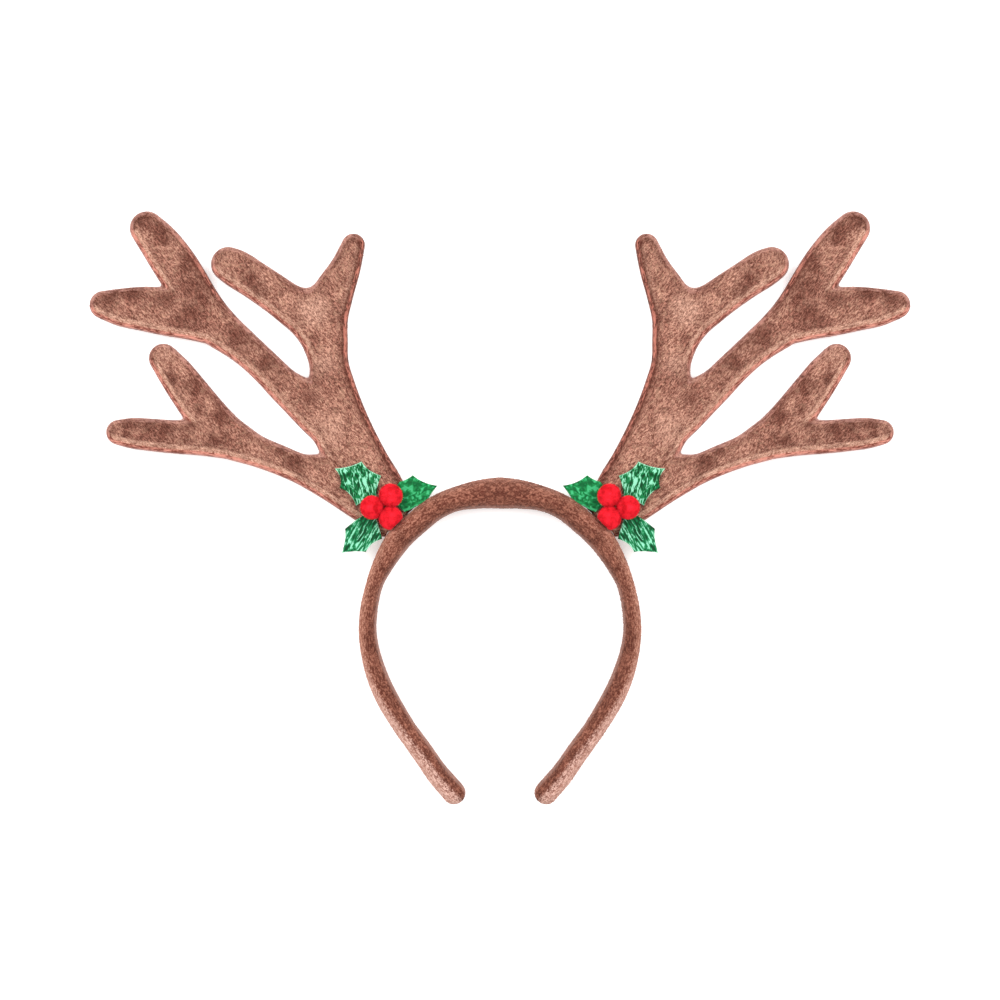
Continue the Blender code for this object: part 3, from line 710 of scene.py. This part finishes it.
def hoop_surface():
    """The padded hoop's surface, with its own coordinates along and round the plush."""
    half = band_line(HOOP_STEP)
    line = np.vstack([half[:0:-1] * (-1, 1, 1, 1), half])
    heading = np.gradient(line[:, :2], axis=0)
    heading /= np.hypot(heading[:, 0], heading[:, 1])[:, None]
    along = np.concatenate([[0.0], np.cumsum(np.hypot(*np.diff(line[:, :2], axis=0).T))])
    along = np.abs(along - along[-1] / 2)
    stations = [(p[:2], way, p[2], p[3], 1.0, s) for p, way, s in zip(line, heading, along)]
    for end, sign in ((0, -1), (-1, 1)):
        x, y, thick, deep = line[end]
        for angle in np.radians(TIP_ANGLES):
            spot = (x, y) + sign * thick / 2 * math.sin(angle) * heading[end]
            run = along[end] + thick / 2 * float(angle)
            cap = (spot, heading[end], thick, deep, math.cos(angle), run)
            stations = [cap] + stations if sign < 0 else stations + [cap]
    angles = np.arange(HOOP_SIDES) * 2 * math.pi / HOOP_SIDES
    power = 2 / SECTION_POWER
    ring_out = np.sign(np.cos(angles)) * np.abs(np.cos(angles)) ** power
    ring_up = np.sign(np.sin(angles)) * np.abs(np.sin(angles)) ** power
    rows = []
    skin = []
    for spot, way, thick, deep, scale, run in stations:
        outward = np.array([-way[1], way[0]])
        out = scale * ring_out * thick / 2
        up = scale * ring_up * deep / 2
        plan = spot + out[:, None] * outward
        rows.append(np.column_stack([plan, deep / 2 + up]))
        skin.append(np.column_stack([np.full(HOOP_SIDES, run), ring_out, ring_up]))
    rows = np.array(rows)
    skin = np.array(skin)
    across = np.gradient(rows, axis=0)
    around = (np.roll(rows, -1, axis=1) - np.roll(rows, 1, axis=1)) / 2
    normals = np.cross(around, across)
    normals /= np.maximum(np.linalg.norm(normals, axis=2), 1e-12)[..., None]
    middle = rows.mean(axis=1, keepdims=True)
    flip = np.sign(np.einsum("ijk,ijk->ij", normals, rows - middle))
    normals *= np.where(flip == 0, 1.0, flip)[..., None]

    run, out, up = skin[..., 0], skin[..., 1], skin[..., 2]
    cloth = np.stack([run / 0.004, out * 1.2, up * 1.2], axis=-1).reshape(-1, 3)
    wobble = lumps(cloth, 1.0, 2.0).reshape(run.shape)
    mask = np.clip((out + 0.15) / 0.4, 0.0, 1.0) * np.clip((up + 0.4) / 0.5, 0.0, 1.0)
    pleats = np.abs(np.sin(math.pi * run / PLEATS[0] + 2.2 * wobble)) - 0.6
    ridges = PLEATS[1] * mask * pleats
    folds = np.stack([run / LONG_FOLDS[0], out * 2.6, up * 2.6], axis=-1).reshape(-1, 3)
    long_folds = LONG_FOLDS[1] * lumps(folds, 1.0, 9.0).reshape(run.shape)
    tip = np.clip((run - (along.max() - 0.010)) / GATHERS[0], 0.0, 1.0)
    turn = np.arctan2(up, out)
    gathers = GATHERS[1] * tip * (np.abs(np.sin(4.5 * turn + 1.4 * wobble)) - 0.5)
    fine = np.stack([run / NUBS[0], out * 5, up * 5], axis=-1).reshape(-1, 3)
    nubs = NUBS[1] * lumps(fine, 1.0, 4.0).reshape(run.shape)
    moved = rows + (ridges + long_folds + gathers + nubs - HOOP_SINK)[..., None] * normals
    moved[..., 2] = np.maximum(moved[..., 2], 0.0)

    count = len(stations)
    verts = moved.reshape(-1, 3).tolist()
    carried = skin.reshape(-1, 3).tolist()
    faces = []
    for ring in range(count - 1):
        for k in range(HOOP_SIDES):
            a = ring * HOOP_SIDES + k
            b = ring * HOOP_SIDES + (k + 1) % HOOP_SIDES
            faces += [(a, b, b + HOOP_SIDES), (a, b + HOOP_SIDES, a + HOOP_SIDES)]
    for end, sign in ((0, -1), (-1, 1)):
        thick, deep = line[end, 2], line[end, 3]
        pole = line[end, :2] + sign * thick / 2 * heading[end]
        first = 0 if sign < 0 else (count - 1) * HOOP_SIDES
        verts.append((*pole, deep / 2))
        carried.append((along.max() + thick / 2 * math.pi / 2, 0.0, 0.0))
        for k in range(HOOP_SIDES):
            ends = (first + k, first + (k + 1) % HOOP_SIDES, len(verts) - 1)
            faces.append(ends if sign > 0 else ends[::-1])
    verts, faces = np.array(verts), np.array(faces)
    normals, _ = face_normals(verts, faces)
    centre = verts[faces].mean(axis=1)
    crown = faces[np.abs(centre[:, 0]) < 0.004]
    outer = normals[np.abs(centre[:, 0]) < 0.004]
    top = verts[crown].mean(axis=1)[:, 1] > 0.006
    if outer[top][:, 1].mean() < 0:
        faces = faces[:, ::-1]
    return verts, faces, {"skin": np.array(carried), "shade": np.full(len(verts), 0.35)}


def pushed_clear(points, gap=GAP):
    """Moves points in plan straight away from the hoop until they clear it."""
    clear = outside_band(points)
    gradient = slope(outside_band, points)
    size = np.maximum(np.hypot(gradient[..., 0], gradient[..., 1]), 1e-6)[..., None]
    return points + np.clip(gap - clear, 0.0, None)[..., None] * gradient / size


def leaf_rest(points):
    """Height of a leaf's back: on the antler's front, curling up beyond the berries."""
    reach = np.hypot(*(points - SPRIG).T) - BERRY
    beyond = np.clip(reach / LEAF_LENGTH, 0.0, None)
    return antler_front(points) + GAP + LEAF_CURL * beyond**CURL_POWER


def leaf_surface(number):
    """A holly leaf of crinkled cloth, with its coordinates from the sprig outwards."""
    rows = np.array(LEAVES[number]) * LEAF_LENGTH
    spikes = SPRIG + rows[:, :2]
    dips = SPRIG + rows[:, 2:]
    onward = np.roll(spikes, -1, axis=0)
    t = np.arange(SPIKE_STEPS)[:, None] / SPIKE_STEPS
    outline = np.vstack([
        (1 - t) * (1 - 2 * t) * a + 4 * t * (1 - t) * dip + t * (2 * t - 1) * b
        for a, dip, b in zip(spikes, dips, onward)
    ])
    outline = pushed_clear(outline, -GAP)
    low, high = outline.min(axis=0), outline.max(axis=0)
    fill = even_grid(low, high, LEAF_STEP)
    a, b = outline, np.roll(outline, -1, axis=0)
    inside = np.zeros(len(fill), dtype=bool)
    for p, q in zip(a, b):
        crosses = (p[1] > fill[:, 1]) != (q[1] > fill[:, 1])
        at = p[0] + (fill[:, 1] - p[1]) / (q[1] - p[1] + 1e-15) * (q[0] - p[0])
        inside ^= crosses & (fill[:, 0] < at)
    inner = fill[inside & (from_outline(fill, outline) > 0.3 * LEAF_STEP)]
    points, faces = filled(outline, inner)
    flat = np.column_stack([points, np.full(len(points), 0.01 * number)])
    angle = math.radians(CREASE_WAYS[number])
    way = np.array([math.cos(angle), math.sin(angle)])
    u = (points - SPRIG) @ way
    v = (points - SPRIG) @ np.array([-way[1], way[0]])
    length, width = CREASE_SIZE
    stretched = np.column_stack([u / length, v / width, np.full(len(points), 3.0 * number)])
    creases = 1 - 2 * np.abs(lumps(stretched, 1.0, 6.0))
    crinkle = CREASE_HEIGHTS[number] * creases + raised(flat, DIMPLES)
    back = leaf_rest(points)
    front = back + CLOTH_THICK + crinkle + np.abs(raised(flat, CRUMPLE))
    verts, shell, source = closed_shell(points, front, back, faces)
    skin = np.column_stack([u, v, np.full(len(points), 0.05 * number)])
    rim = from_outline(points, outline)
    area = 0.5 * abs(float(np.sum(a[:, 0] * b[:, 1] - b[:, 0] * a[:, 1])))
    carried = {"skin": skin[source], "rim": rim[source] * 1000}
    return verts, shell, carried, (high - low), area


def berry_surface(which):
    """A pompom's head, pressed against what it touches."""
    plan = SPRIG + BERRY * np.array(BERRIES)
    rest = antler_front(plan) + 2 * GAP + LEAF_THICK
    centres = np.column_stack([plan, rest + BERRY_SINK * BERRY / 2])
    centre = centres[which]
    bm = bmesh.new()
    bmesh.ops.create_icosphere(bm, subdivisions=BERRY_SUBDIVISIONS, radius=1.0)
    ways = np.array([tuple(v.co.normalized()) for v in bm.verts])
    faces = np.array([tuple(v.index for v in f.verts) for f in bm.faces])
    bm.free()
    tufts = lumps(ways, 0.30, 3.0 + which) + 0.4 * lumps(ways, 0.10, 5.0 + which)
    reach = BERRY / 2 - WOOL_TRIM + WOOL_LUMP * tufts
    for other in np.delete(centres, which, axis=0):
        apart = np.linalg.norm(other - centre)
        towards = ways @ (other - centre) / apart
        wall = apart / 2 - PRESSED_GAP
        walled = wall / np.maximum(towards, 1e-6)
        reach = np.where(towards > 1e-6, np.minimum(reach, walled), reach)
    verts = centre + ways * reach[:, None]
    verts[:, :2] = pushed_clear(verts[:, :2])
    floor = antler_front(verts[:, :2]) + 2 * GAP + LEAF_THICK
    verts[:, 2] = np.maximum(verts[:, 2], floor)
    return verts, faces, {"shade": np.full(len(verts), 0.4)}


# Materials


class Surface:
    """A material under construction: nodes are added with their inputs in one call."""

    def __init__(self, name):
        self.material = bpy.data.materials.new(name)
        self.material.use_nodes = True
        self.tree = self.material.node_tree
        self.shader = self.tree.nodes["Principled BSDF"]

    def node(self, kind, *values, **settings):
        """Adds a node, sets its properties and fills its inputs in order."""
        made = self.tree.nodes.new(kind)
        for key, value in settings.items():
            setattr(made, key, value)
        sockets = [s for s in made.inputs if s.enabled]
        for socket, value in zip(sockets, values):
            self.feed(socket, value)
        return made

    def feed(self, socket, value):
        """Links a socket to another, or sets its value."""
        if isinstance(value, bpy.types.NodeSocket):
            self.tree.links.new(value, socket)
        elif value is not None:
            socket.default_value = value

    def finish(self, **values):
        """Sets the shader's own numbers and colours, named with underscores for spaces."""
        for key, value in values.items():
            self.shader.inputs[key.replace("_", " ")].default_value = value

    def math(self, operation, *values):
        """One step of arithmetic."""
        return self.node("ShaderNodeMath", *values, operation=operation).outputs[0]

    def band(self, value, low, high, to_low=0.0, to_high=1.0):
        """Maps a stretch of values onto another, clamped, with a smooth ease."""
        made = self.node(
            "ShaderNodeMapRange", value, low, high, to_low, to_high, interpolation_type="SMOOTHSTEP"
        )
        return made.outputs[0]

    def noise(self, place, scale, detail=2.0, rough=0.5, distort=0.0):
        """Soft noise of 0 to 1."""
        made = self.node("ShaderNodeTexNoise")
        self.feed(made.inputs["Vector"], place)
        made.inputs["Scale"].default_value = scale
        made.inputs["Detail"].default_value = detail
        made.inputs["Roughness"].default_value = rough
        made.inputs["Distortion"].default_value = distort
        return made.outputs[0]

    def mix(self, share, a, b):
        """A mix of two colours."""
        made = self.tree.nodes.new("ShaderNodeMix")
        made.data_type = "RGBA"
        self.feed(made.inputs[0], share)
        self.feed(made.inputs[6], a)
        self.feed(made.inputs[7], b)
        return made.outputs[2]

    def mirrored_place(self):
        """Object coordinates that are the same on both sides of the headband."""
        place = self.tree.nodes.new("ShaderNodeTexCoord").outputs["Object"]
        return self.node("ShaderNodeVectorMath", place, operation="ABSOLUTE").outputs[0]

    def turned(self, place, degrees, scale):
        """Coordinates turned in plan, then stretched."""
        turn = self.node("ShaderNodeVectorRotate", rotation_type="Z_AXIS")
        self.feed(turn.inputs["Vector"], place)
        turn.inputs["Angle"].default_value = math.radians(degrees)
        return self.scaled(turn.outputs[0], scale)

    def scaled(self, place, scale, added=None):
        """Coordinates stretched, with others added."""
        made = self.node("ShaderNodeVectorMath", place, None, added, operation="MULTIPLY_ADD")
        made.inputs[1].default_value = scale
        return made.outputs[0]

    def value(self, name, vector=False):
        """An attribute of the mesh."""
        made = self.node("ShaderNodeAttribute", attribute_name=name)
        return made.outputs["Vector" if vector else "Fac"]

    def bump(self, height, distance, strength=1.0):
        """Tilts the surface by a height."""
        made = self.tree.nodes.new("ShaderNodeBump")
        made.inputs["Strength"].default_value = strength
        made.inputs["Distance"].default_value = distance
        self.feed(made.inputs["Height"], height)
        self.feed(self.shader.inputs["Normal"], made.outputs[0])


def plush_antler():
    """Short crushed plush, mottled, with a reddish rolled edge and a dark seam groove, and painted
    light and shade along its edges by the way each edge faces.
    """
    s = Surface("antler plush")
    place = s.mirrored_place()
    streaks = s.noise(s.turned(place, -50, (480, 1700, 900)), 1.0, 2.0, 0.6, 0.5)
    flecks = s.noise(place, 1300, 2.0, 0.6)
    patch = s.noise(place, 90, 3.0, 0.65, 0.8)
    shade = s.value("shade")
    grain = s.math("MULTIPLY_ADD", streaks, 0.55, s.math("MULTIPLY", flecks, 0.45))
    grain = s.math("MULTIPLY_ADD", shade, 0.18, s.math("SUBTRACT", grain, 0.09))
    patched = s.band(patch, 0.36, 0.64)
    dark = s.mix(patched, linear(90, 50, 39), linear(122, 74, 60))
    light = s.mix(patched, linear(180, 122, 104), linear(216, 164, 142))
    fur = s.mix(s.band(grain, 0.39, 0.61), dark, light)
    sandy = s.math("MULTIPLY", s.band(s.noise(place, 420, 2.0, 0.6), 0.52, 0.66), 0.30)
    fur = s.mix(sandy, fur, linear(204, 160, 134))
    patches = s.value("worn")
    brushed = s.mix(s.band(grain, 0.34, 0.58), linear(134, 90, 74), linear(226, 180, 158))
    fur = s.mix(s.math("MULTIPLY", s.band(patches, -0.05, -0.8), 0.8), fur, brushed)
    trodden = s.mix(s.band(grain, 0.40, 0.64), linear(80, 39, 29), linear(146, 92, 76))
    worn = s.math("MULTIPLY", s.band(patches, 0.08, 0.8), s.band(patch, 0.66, 0.42, 0.55, 1.0))
    fur = s.mix(s.math("MULTIPLY", worn, 0.92), fur, trodden)

    edge, low, inner = s.value("edge"), s.value("low"), s.value("inner")
    # Painted highlight: a pale band about 1.6 to 5 mm inside edges that face down, in patches, where
    # the rolled edge catches the light.
    edge_highlight = s.math("MULTIPLY", s.band(edge, 1.6, 2.5), s.band(edge, 5.0, 3.5))
    edge_highlight = s.math("MULTIPLY", edge_highlight, s.band(low, 0.5, 1.0))
    edge_highlight = s.math("MULTIPLY", edge_highlight, s.band(s.noise(place, 160, 2.0, 0.6), 0.3, 0.6, 0.4, 1.0))
    highlight_colour = s.mix(s.band(grain, 0.36, 0.58), linear(166, 110, 90), linear(242, 198, 174))
    fur = s.mix(s.math("MULTIPLY", edge_highlight, 0.95), fur, highlight_colour)
    shadow = s.math("MULTIPLY", s.band(edge, 1.8, 2.6), s.band(edge, 4.4, 2.8))
    shadow = s.math("MULTIPLY", s.math("MULTIPLY", shadow, inner), 0.40)
    fur = s.mix(shadow, fur, linear(110, 60, 46))

    depth = s.node("ShaderNodeCombineXYZ", 0.0, 0.0, s.math("MULTIPLY", edge, 2.2)).outputs[0]
    beads = s.noise(s.scaled(place, (330, 330, 330), depth), 1.0, 2.0, 0.65, 0.4)
    tone = s.band(s.noise(place, 75, 2.0, 0.6), 0.36, 0.62)
    speckle = s.band(s.math("MULTIPLY_ADD", tone, 0.10, beads), 0.46, 0.62)
    # Painted light and shade on the welt by the way its edge faces: under is the lit roll where it
    # faces down, side is in painted shade where it faces inward, over is greyer where it faces up.
    # The welt shows most on the down and inward edges.
    under = s.mix(speckle, linear(104, 48, 37), linear(206, 138, 122))
    side = s.mix(speckle, linear(74, 31, 23), linear(184, 114, 98))
    over = s.mix(speckle, linear(102, 60, 50), linear(192, 142, 130))
    bead = s.mix(inner, s.mix(low, over, under), side)
    facing = s.math("MAXIMUM", low, inner)
    share = s.math("MULTIPLY_ADD", facing, 0.40, 0.50)
    rolled = s.mix(s.math("MULTIPLY", s.band(edge, 2.4, 1.8), share), fur, bead)
    # Painted shade in the seam's groove: dark, strongest where the edge faces inward, faint where it
    # faces down, and broken in places.
    broken = s.band(s.noise(place, 260, 2.0, 0.6), 0.34, 0.54, 0.25, 1.0)
    groove = s.math("MULTIPLY", s.band(edge, 1.8, 2.3), s.band(edge, 3.2, 2.7))
    deep = s.math("MULTIPLY_ADD", inner, 0.48, s.math("MULTIPLY_ADD", low, 0.12, 0.04))
    groove = s.math("MULTIPLY", groove, s.math("MULTIPLY", deep, broken))
    shaded_groove = s.mix(groove, rolled, linear(74, 28, 21))
    # The very edge is painted pale where it faces out, up or down, and dark, as painted shade, where
    # it faces inward.
    rim = s.math("MULTIPLY", s.band(edge, 0.8, 0.2), s.band(beads, 0.36, 0.56, 0.30, 0.75))
    rimmed = s.mix(inner, linear(182, 144, 138), linear(112, 70, 62))
    s.feed(s.shader.inputs["Base Color"], s.mix(rim, shaded_groove, rimmed))
    s.finish(Roughness=0.9, Specular_IOR_Level=0.2)
    s.finish(Sheen_Weight=0.15, Sheen_Roughness=0.4, Sheen_Tint=linear(240, 205, 190))
    s.bump(grain, 0.0006, 1.0)
    return s.material


def plush_hoop():
    """The hoop's plush: dark strokes along it, painted paler on the outer half as if lit from
    outside, and most by the tips.
    """
    s = Surface("hoop plush")
    place = s.mirrored_place()
    skin = s.value("skin", vector=True)
    parts = s.node("ShaderNodeSeparateXYZ", skin).outputs
    run, out, up = parts[0], parts[1], parts[2]
    strokes = s.noise(s.scaled(skin, (520, 7.0, 7.0)), 1.0, 2.0, 0.6, 0.9)
    flecks = s.noise(place, 1300, 2.0, 0.6)
    patch = s.noise(place, 110, 3.0, 0.65, 0.8)
    grain = s.math("MULTIPLY_ADD", strokes, 0.6, s.math("MULTIPLY", flecks, 0.4))
    grain = s.math("MULTIPLY_ADD", s.value("shade"), 0.16, s.math("SUBTRACT", grain, 0.08))
    patched = s.band(patch, 0.34, 0.66)
    dark = s.mix(patched, linear(78, 38, 28), linear(104, 56, 43))
    light = s.mix(patched, linear(140, 86, 68), linear(168, 110, 90))
    fur = s.mix(s.band(grain, 0.40, 0.62), dark, light)
    # Painted light: the outer half is painted lighter in the sandy tones, as lit from outside, more
    # so away from the crown.
    sandy = s.mix(s.band(grain, 0.38, 0.60), linear(134, 76, 57), linear(208, 152, 130))
    lit_outer_half = s.math("MULTIPLY", s.band(out, -0.15, 0.95), s.band(run, 0.03, 0.06, 0.25, 0.85))
    fur = s.mix(lit_outer_half, fur, sandy)
    # Painted light: on the arms the outer side is painted paler still, as lit from outside, with a
    # ragged border.
    pale = s.mix(s.band(grain, 0.36, 0.62), linear(160, 110, 94), linear(222, 182, 168))
    start = s.band(run, 0.12, 0.19, 0.52, -0.10)
    past = s.math("SUBTRACT", s.math("MULTIPLY_ADD", flecks, 0.7, out), start)
    lit_arm_side = s.math("MULTIPLY", s.band(past, 0.10, 0.60), s.band(run, 0.105, 0.15, 0.0, 0.92))
    fur = s.mix(lit_arm_side, fur, pale)
    line = s.math("MULTIPLY", s.band(out, -0.45, 0.0), s.band(out, 0.55, 0.20))
    broken = s.math("MULTIPLY", line, s.band(strokes, 0.52, 0.42))
    broken = s.math("MULTIPLY", broken, s.band(up, -0.2, 0.2, 0.0, 0.55))
    fur = s.mix(broken, fur, linear(84, 34, 24))
    # The innermost edge is painted a little paler.
    pale_inner_edge = s.math("MULTIPLY", s.band(out, -0.74, -0.96), 0.35)
    s.feed(s.shader.inputs["Base Color"], s.mix(pale_inner_edge, fur, linear(184, 148, 136)))
    s.finish(Roughness=0.9, Specular_IOR_Level=0.2)
    s.finish(Sheen_Weight=0.15, Sheen_Roughness=0.4, Sheen_Tint=linear(240, 200, 185))
    s.bump(grain, 0.0006, 1.0)
    return s.material


def holly_cloth(number):
    """Crinkled green cloth with painted highlights and painted shade as pale and dark strokes along
    its creases, and pale edges in patches.
    """
    s = Surface(f"holly cloth {number + 1}")
    skin = s.value("skin", vector=True)
    contrast = (1.0, 0.25, 0.95)[number]
    scale = ((250, 950, 100), (360, 480, 100), (210, 1150, 100))[number]
    streaks = s.noise(s.scaled(skin, scale), 1.0, 1.5, 0.5, (1.1, 1.0, 0.6)[number])
    fine = s.noise(skin, 900, 2.0, 0.6)
    blots = s.noise(skin, 240, 1.5, 0.5)
    ridge = s.math("MULTIPLY_ADD", blots, 0.35, s.math("MULTIPLY", streaks, 0.65))
    ridge = s.math("MULTIPLY_ADD", fine, 0.16, s.math("SUBTRACT", ridge, 0.08))
    # The middle green is the cloth's own. deep is painted shade in the creases, and glint is the
    # painted highlights on the crinkles of the metallic cloth.
    deep = (linear(2, 60, 28), linear(6, 92, 46), linear(2, 64, 32))[number]
    middle = (linear(12, 112, 60), linear(16, 124, 64), linear(14, 118, 68))[number]
    glint = (linear(136, 212, 176), linear(58, 170, 110), linear(136, 212, 178))[number]
    green = s.mix(s.band(ridge, 0.43, 0.51), deep, middle)
    green = s.mix(s.band(ridge, 0.53, 0.59), green, glint)
    # Patches of the edges are painted pale.
    patchy = s.band(blots, 0.44, 0.54, 0.0, 0.7 * contrast)
    pale_rim = s.math("MULTIPLY", s.band(s.value("rim"), 0.5, 0.15), patchy)
    s.feed(s.shader.inputs["Base Color"], s.mix(pale_rim, green, linear(172, 232, 196)))
    s.finish(Metallic=0.10, Roughness=0.50, Specular_IOR_Level=0.12)
    s.bump(ridge, 0.0008, 0.6)
    return s.material


def pompom_wool():
    """Dense red wool of uneven tone."""
    s = Surface("pompom wool")
    place = s.mirrored_place()
    tufts = s.noise(place, 420, 2.0, 0.5)
    tone = s.math("MULTIPLY_ADD", s.value("shade"), 0.12, s.noise(place, 260, 2.0, 0.55))
    colour = s.mix(s.band(tone, 0.38, 0.68), linear(206, 2, 22), linear(246, 38, 58))
    s.feed(s.shader.inputs["Base Color"], colour)
    s.finish(Roughness=0.9, Specular_IOR_Level=0.2)
    s.finish(Sheen_Weight=0.25, Sheen_Roughness=0.5, Sheen_Tint=linear(255, 130, 140))
    s.bump(tufts, 0.0002, 0.3)
    return s.material


def floor_paint():
    """A plain pale floor with a faint soft grain, lit from below like a light table."""
    s = Surface("pale floor")
    place = s.tree.nodes.new("ShaderNodeTexCoord").outputs["Object"]
    grain = s.noise(place, 300, 2.0, 0.5)
    colour = s.mix(grain, linear(246, 246, 246), linear(250, 250, 250))
    s.feed(s.shader.inputs["Base Color"], colour)
    s.finish(Roughness=0.7, Specular_IOR_Level=0.2)
    s.finish(Emission_Color=(1.0, 1.0, 1.0, 1.0), Emission_Strength=FLOOR_GLOW)
    return s.material


# The headband

SIDES = (("right", False), ("left", True))

antler_look = plush_antler()
verts, faces, carried, antler_outline = antler_surface()
swirl = np.radians(50 + 55 * lumps(verts[faces].mean(axis=1) * (1, 1, 0), 0.011, 21.0))
lean = np.column_stack([np.cos(swirl), np.sin(swirl), np.zeros(len(swirl))])
depth = carried["edge"][faces].mean(axis=1)
rolled = np.maximum(carried["low"], carried["inner"])[faces].mean(axis=1)
shares = np.where(depth < 3.1, 0.45 - 0.35 * rolled, 1.0)
hair = pile(
    verts, faces, shares, lean, ANTLER_PILE, ANTLER_FIBRES, 5, carried, antler_outline
)
for side, mirror in SIDES:
    node = f"antler_{side}"
    piece = place(f"antler_plush_{side}", verts, faces, carried, antler_look, "plush", mirror)
    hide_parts(node)
    place(f"antler_pile_{side}", *hair, antler_look, "plush", mirror, smooth=False)

hoop_look = plush_hoop()
verts, faces, carried = hoop_surface()
hoop = place("hoop_plush", verts, faces, carried, hoop_look, "plush")
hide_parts("headband")
normals, _ = face_normals(verts, faces)
band_way = np.cross(normals, (0.0, 0.0, 1.0))
band_way /= np.maximum(np.linalg.norm(band_way, axis=1), 1e-6)[:, None]
round_way = np.cross(band_way, normals)
inner_half = carried["skin"][faces].mean(axis=1)[:, 1] < 0
lean = np.where(inner_half[:, None], band_way, round_way)
even = np.ones(len(faces))
hair = pile(verts, faces, even, lean, HOOP_PILE, HOOP_FIBRES, 6, carried, outside_band)
place("hoop_pile", *hair, hoop_look, "plush", smooth=False)

for number in range(3):
    cloth_look = holly_cloth(number)
    verts, faces, carried, flat, area = leaf_surface(number)
    for side, mirror in SIDES:
        name = f"holly_{side}_{number + 1}"
        piece = place(name, verts, faces, carried, cloth_look, "holly_cloth", mirror)
        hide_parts(f"leaf_{side}_{number + 1}")

wool_look = pompom_wool()
for number in range(3):
    verts, faces, carried = berry_surface(number)
    even, upright = np.ones(len(faces)), np.zeros((len(faces), 3))
    seed = 20 + number
    wool = pile(verts, faces, even, upright, WOOL_PILE, WOOL_FIBRES, seed, carried, anywhere)
    for side, mirror in SIDES:
        name = f"{side}_{number + 1}"
        piece = place(f"pompom_{name}", verts, faces, carried, wool_look, "pompom", mirror)
        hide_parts(f"berry_{name}")
        place(f"pompom_fuzz_{name}", *wool, wool_look, "pompom", mirror, smooth=False)

# The floor, the light and the camera

mesh = bpy.data.meshes.new("floor")
corners = [(x * FLOOR_HALF, y * FLOOR_HALF, 0) for x, y in ((-1, -1), (1, -1), (1, 1), (-1, 1))]
mesh.from_pydata(corners, [], [(0, 1, 2, 3)])
mesh.materials.append(floor_paint())
floor = bpy.data.objects.new("floor", mesh)
bpy.context.scene.collection.objects.link(floor)


def softbox(name, spot):
    """A square light that faces the headband."""
    data = bpy.data.lights.new(name, "AREA")
    data.size = SOFTBOX_SIZE
    data.energy = SOFTBOX_POWER
    light = bpy.data.objects.new(name, data)
    light.location = spot
    light.rotation_euler = (-Vector(spot)).to_track_quat("-Z", "Y").to_euler()
    bpy.context.scene.collection.objects.link(light)


softbox("softbox_right", SOFTBOX_SPOT)
softbox("softbox_left", (-SOFTBOX_SPOT[0], *SOFTBOX_SPOT[1:]))
world = bpy.data.worlds.new("studio")
world.use_nodes = True
world.node_tree.nodes["Background"].inputs["Color"].default_value = (1.0, 1.0, 1.0, 1.0)
world.node_tree.nodes["Background"].inputs["Strength"].default_value = ROOM_LIGHT
bpy.context.scene.world = world
bpy.context.scene.view_settings.view_transform = "Standard"

lens = bpy.data.cameras.new("camera")
lens.sensor_width = SENSOR
lens.lens = LENS
lens.clip_start = 0.01
camera = bpy.data.objects.new("camera", lens)
camera.location = CAMERA_SPOT
bpy.context.scene.collection.objects.link(camera)
bpy.context.scene.camera = camera
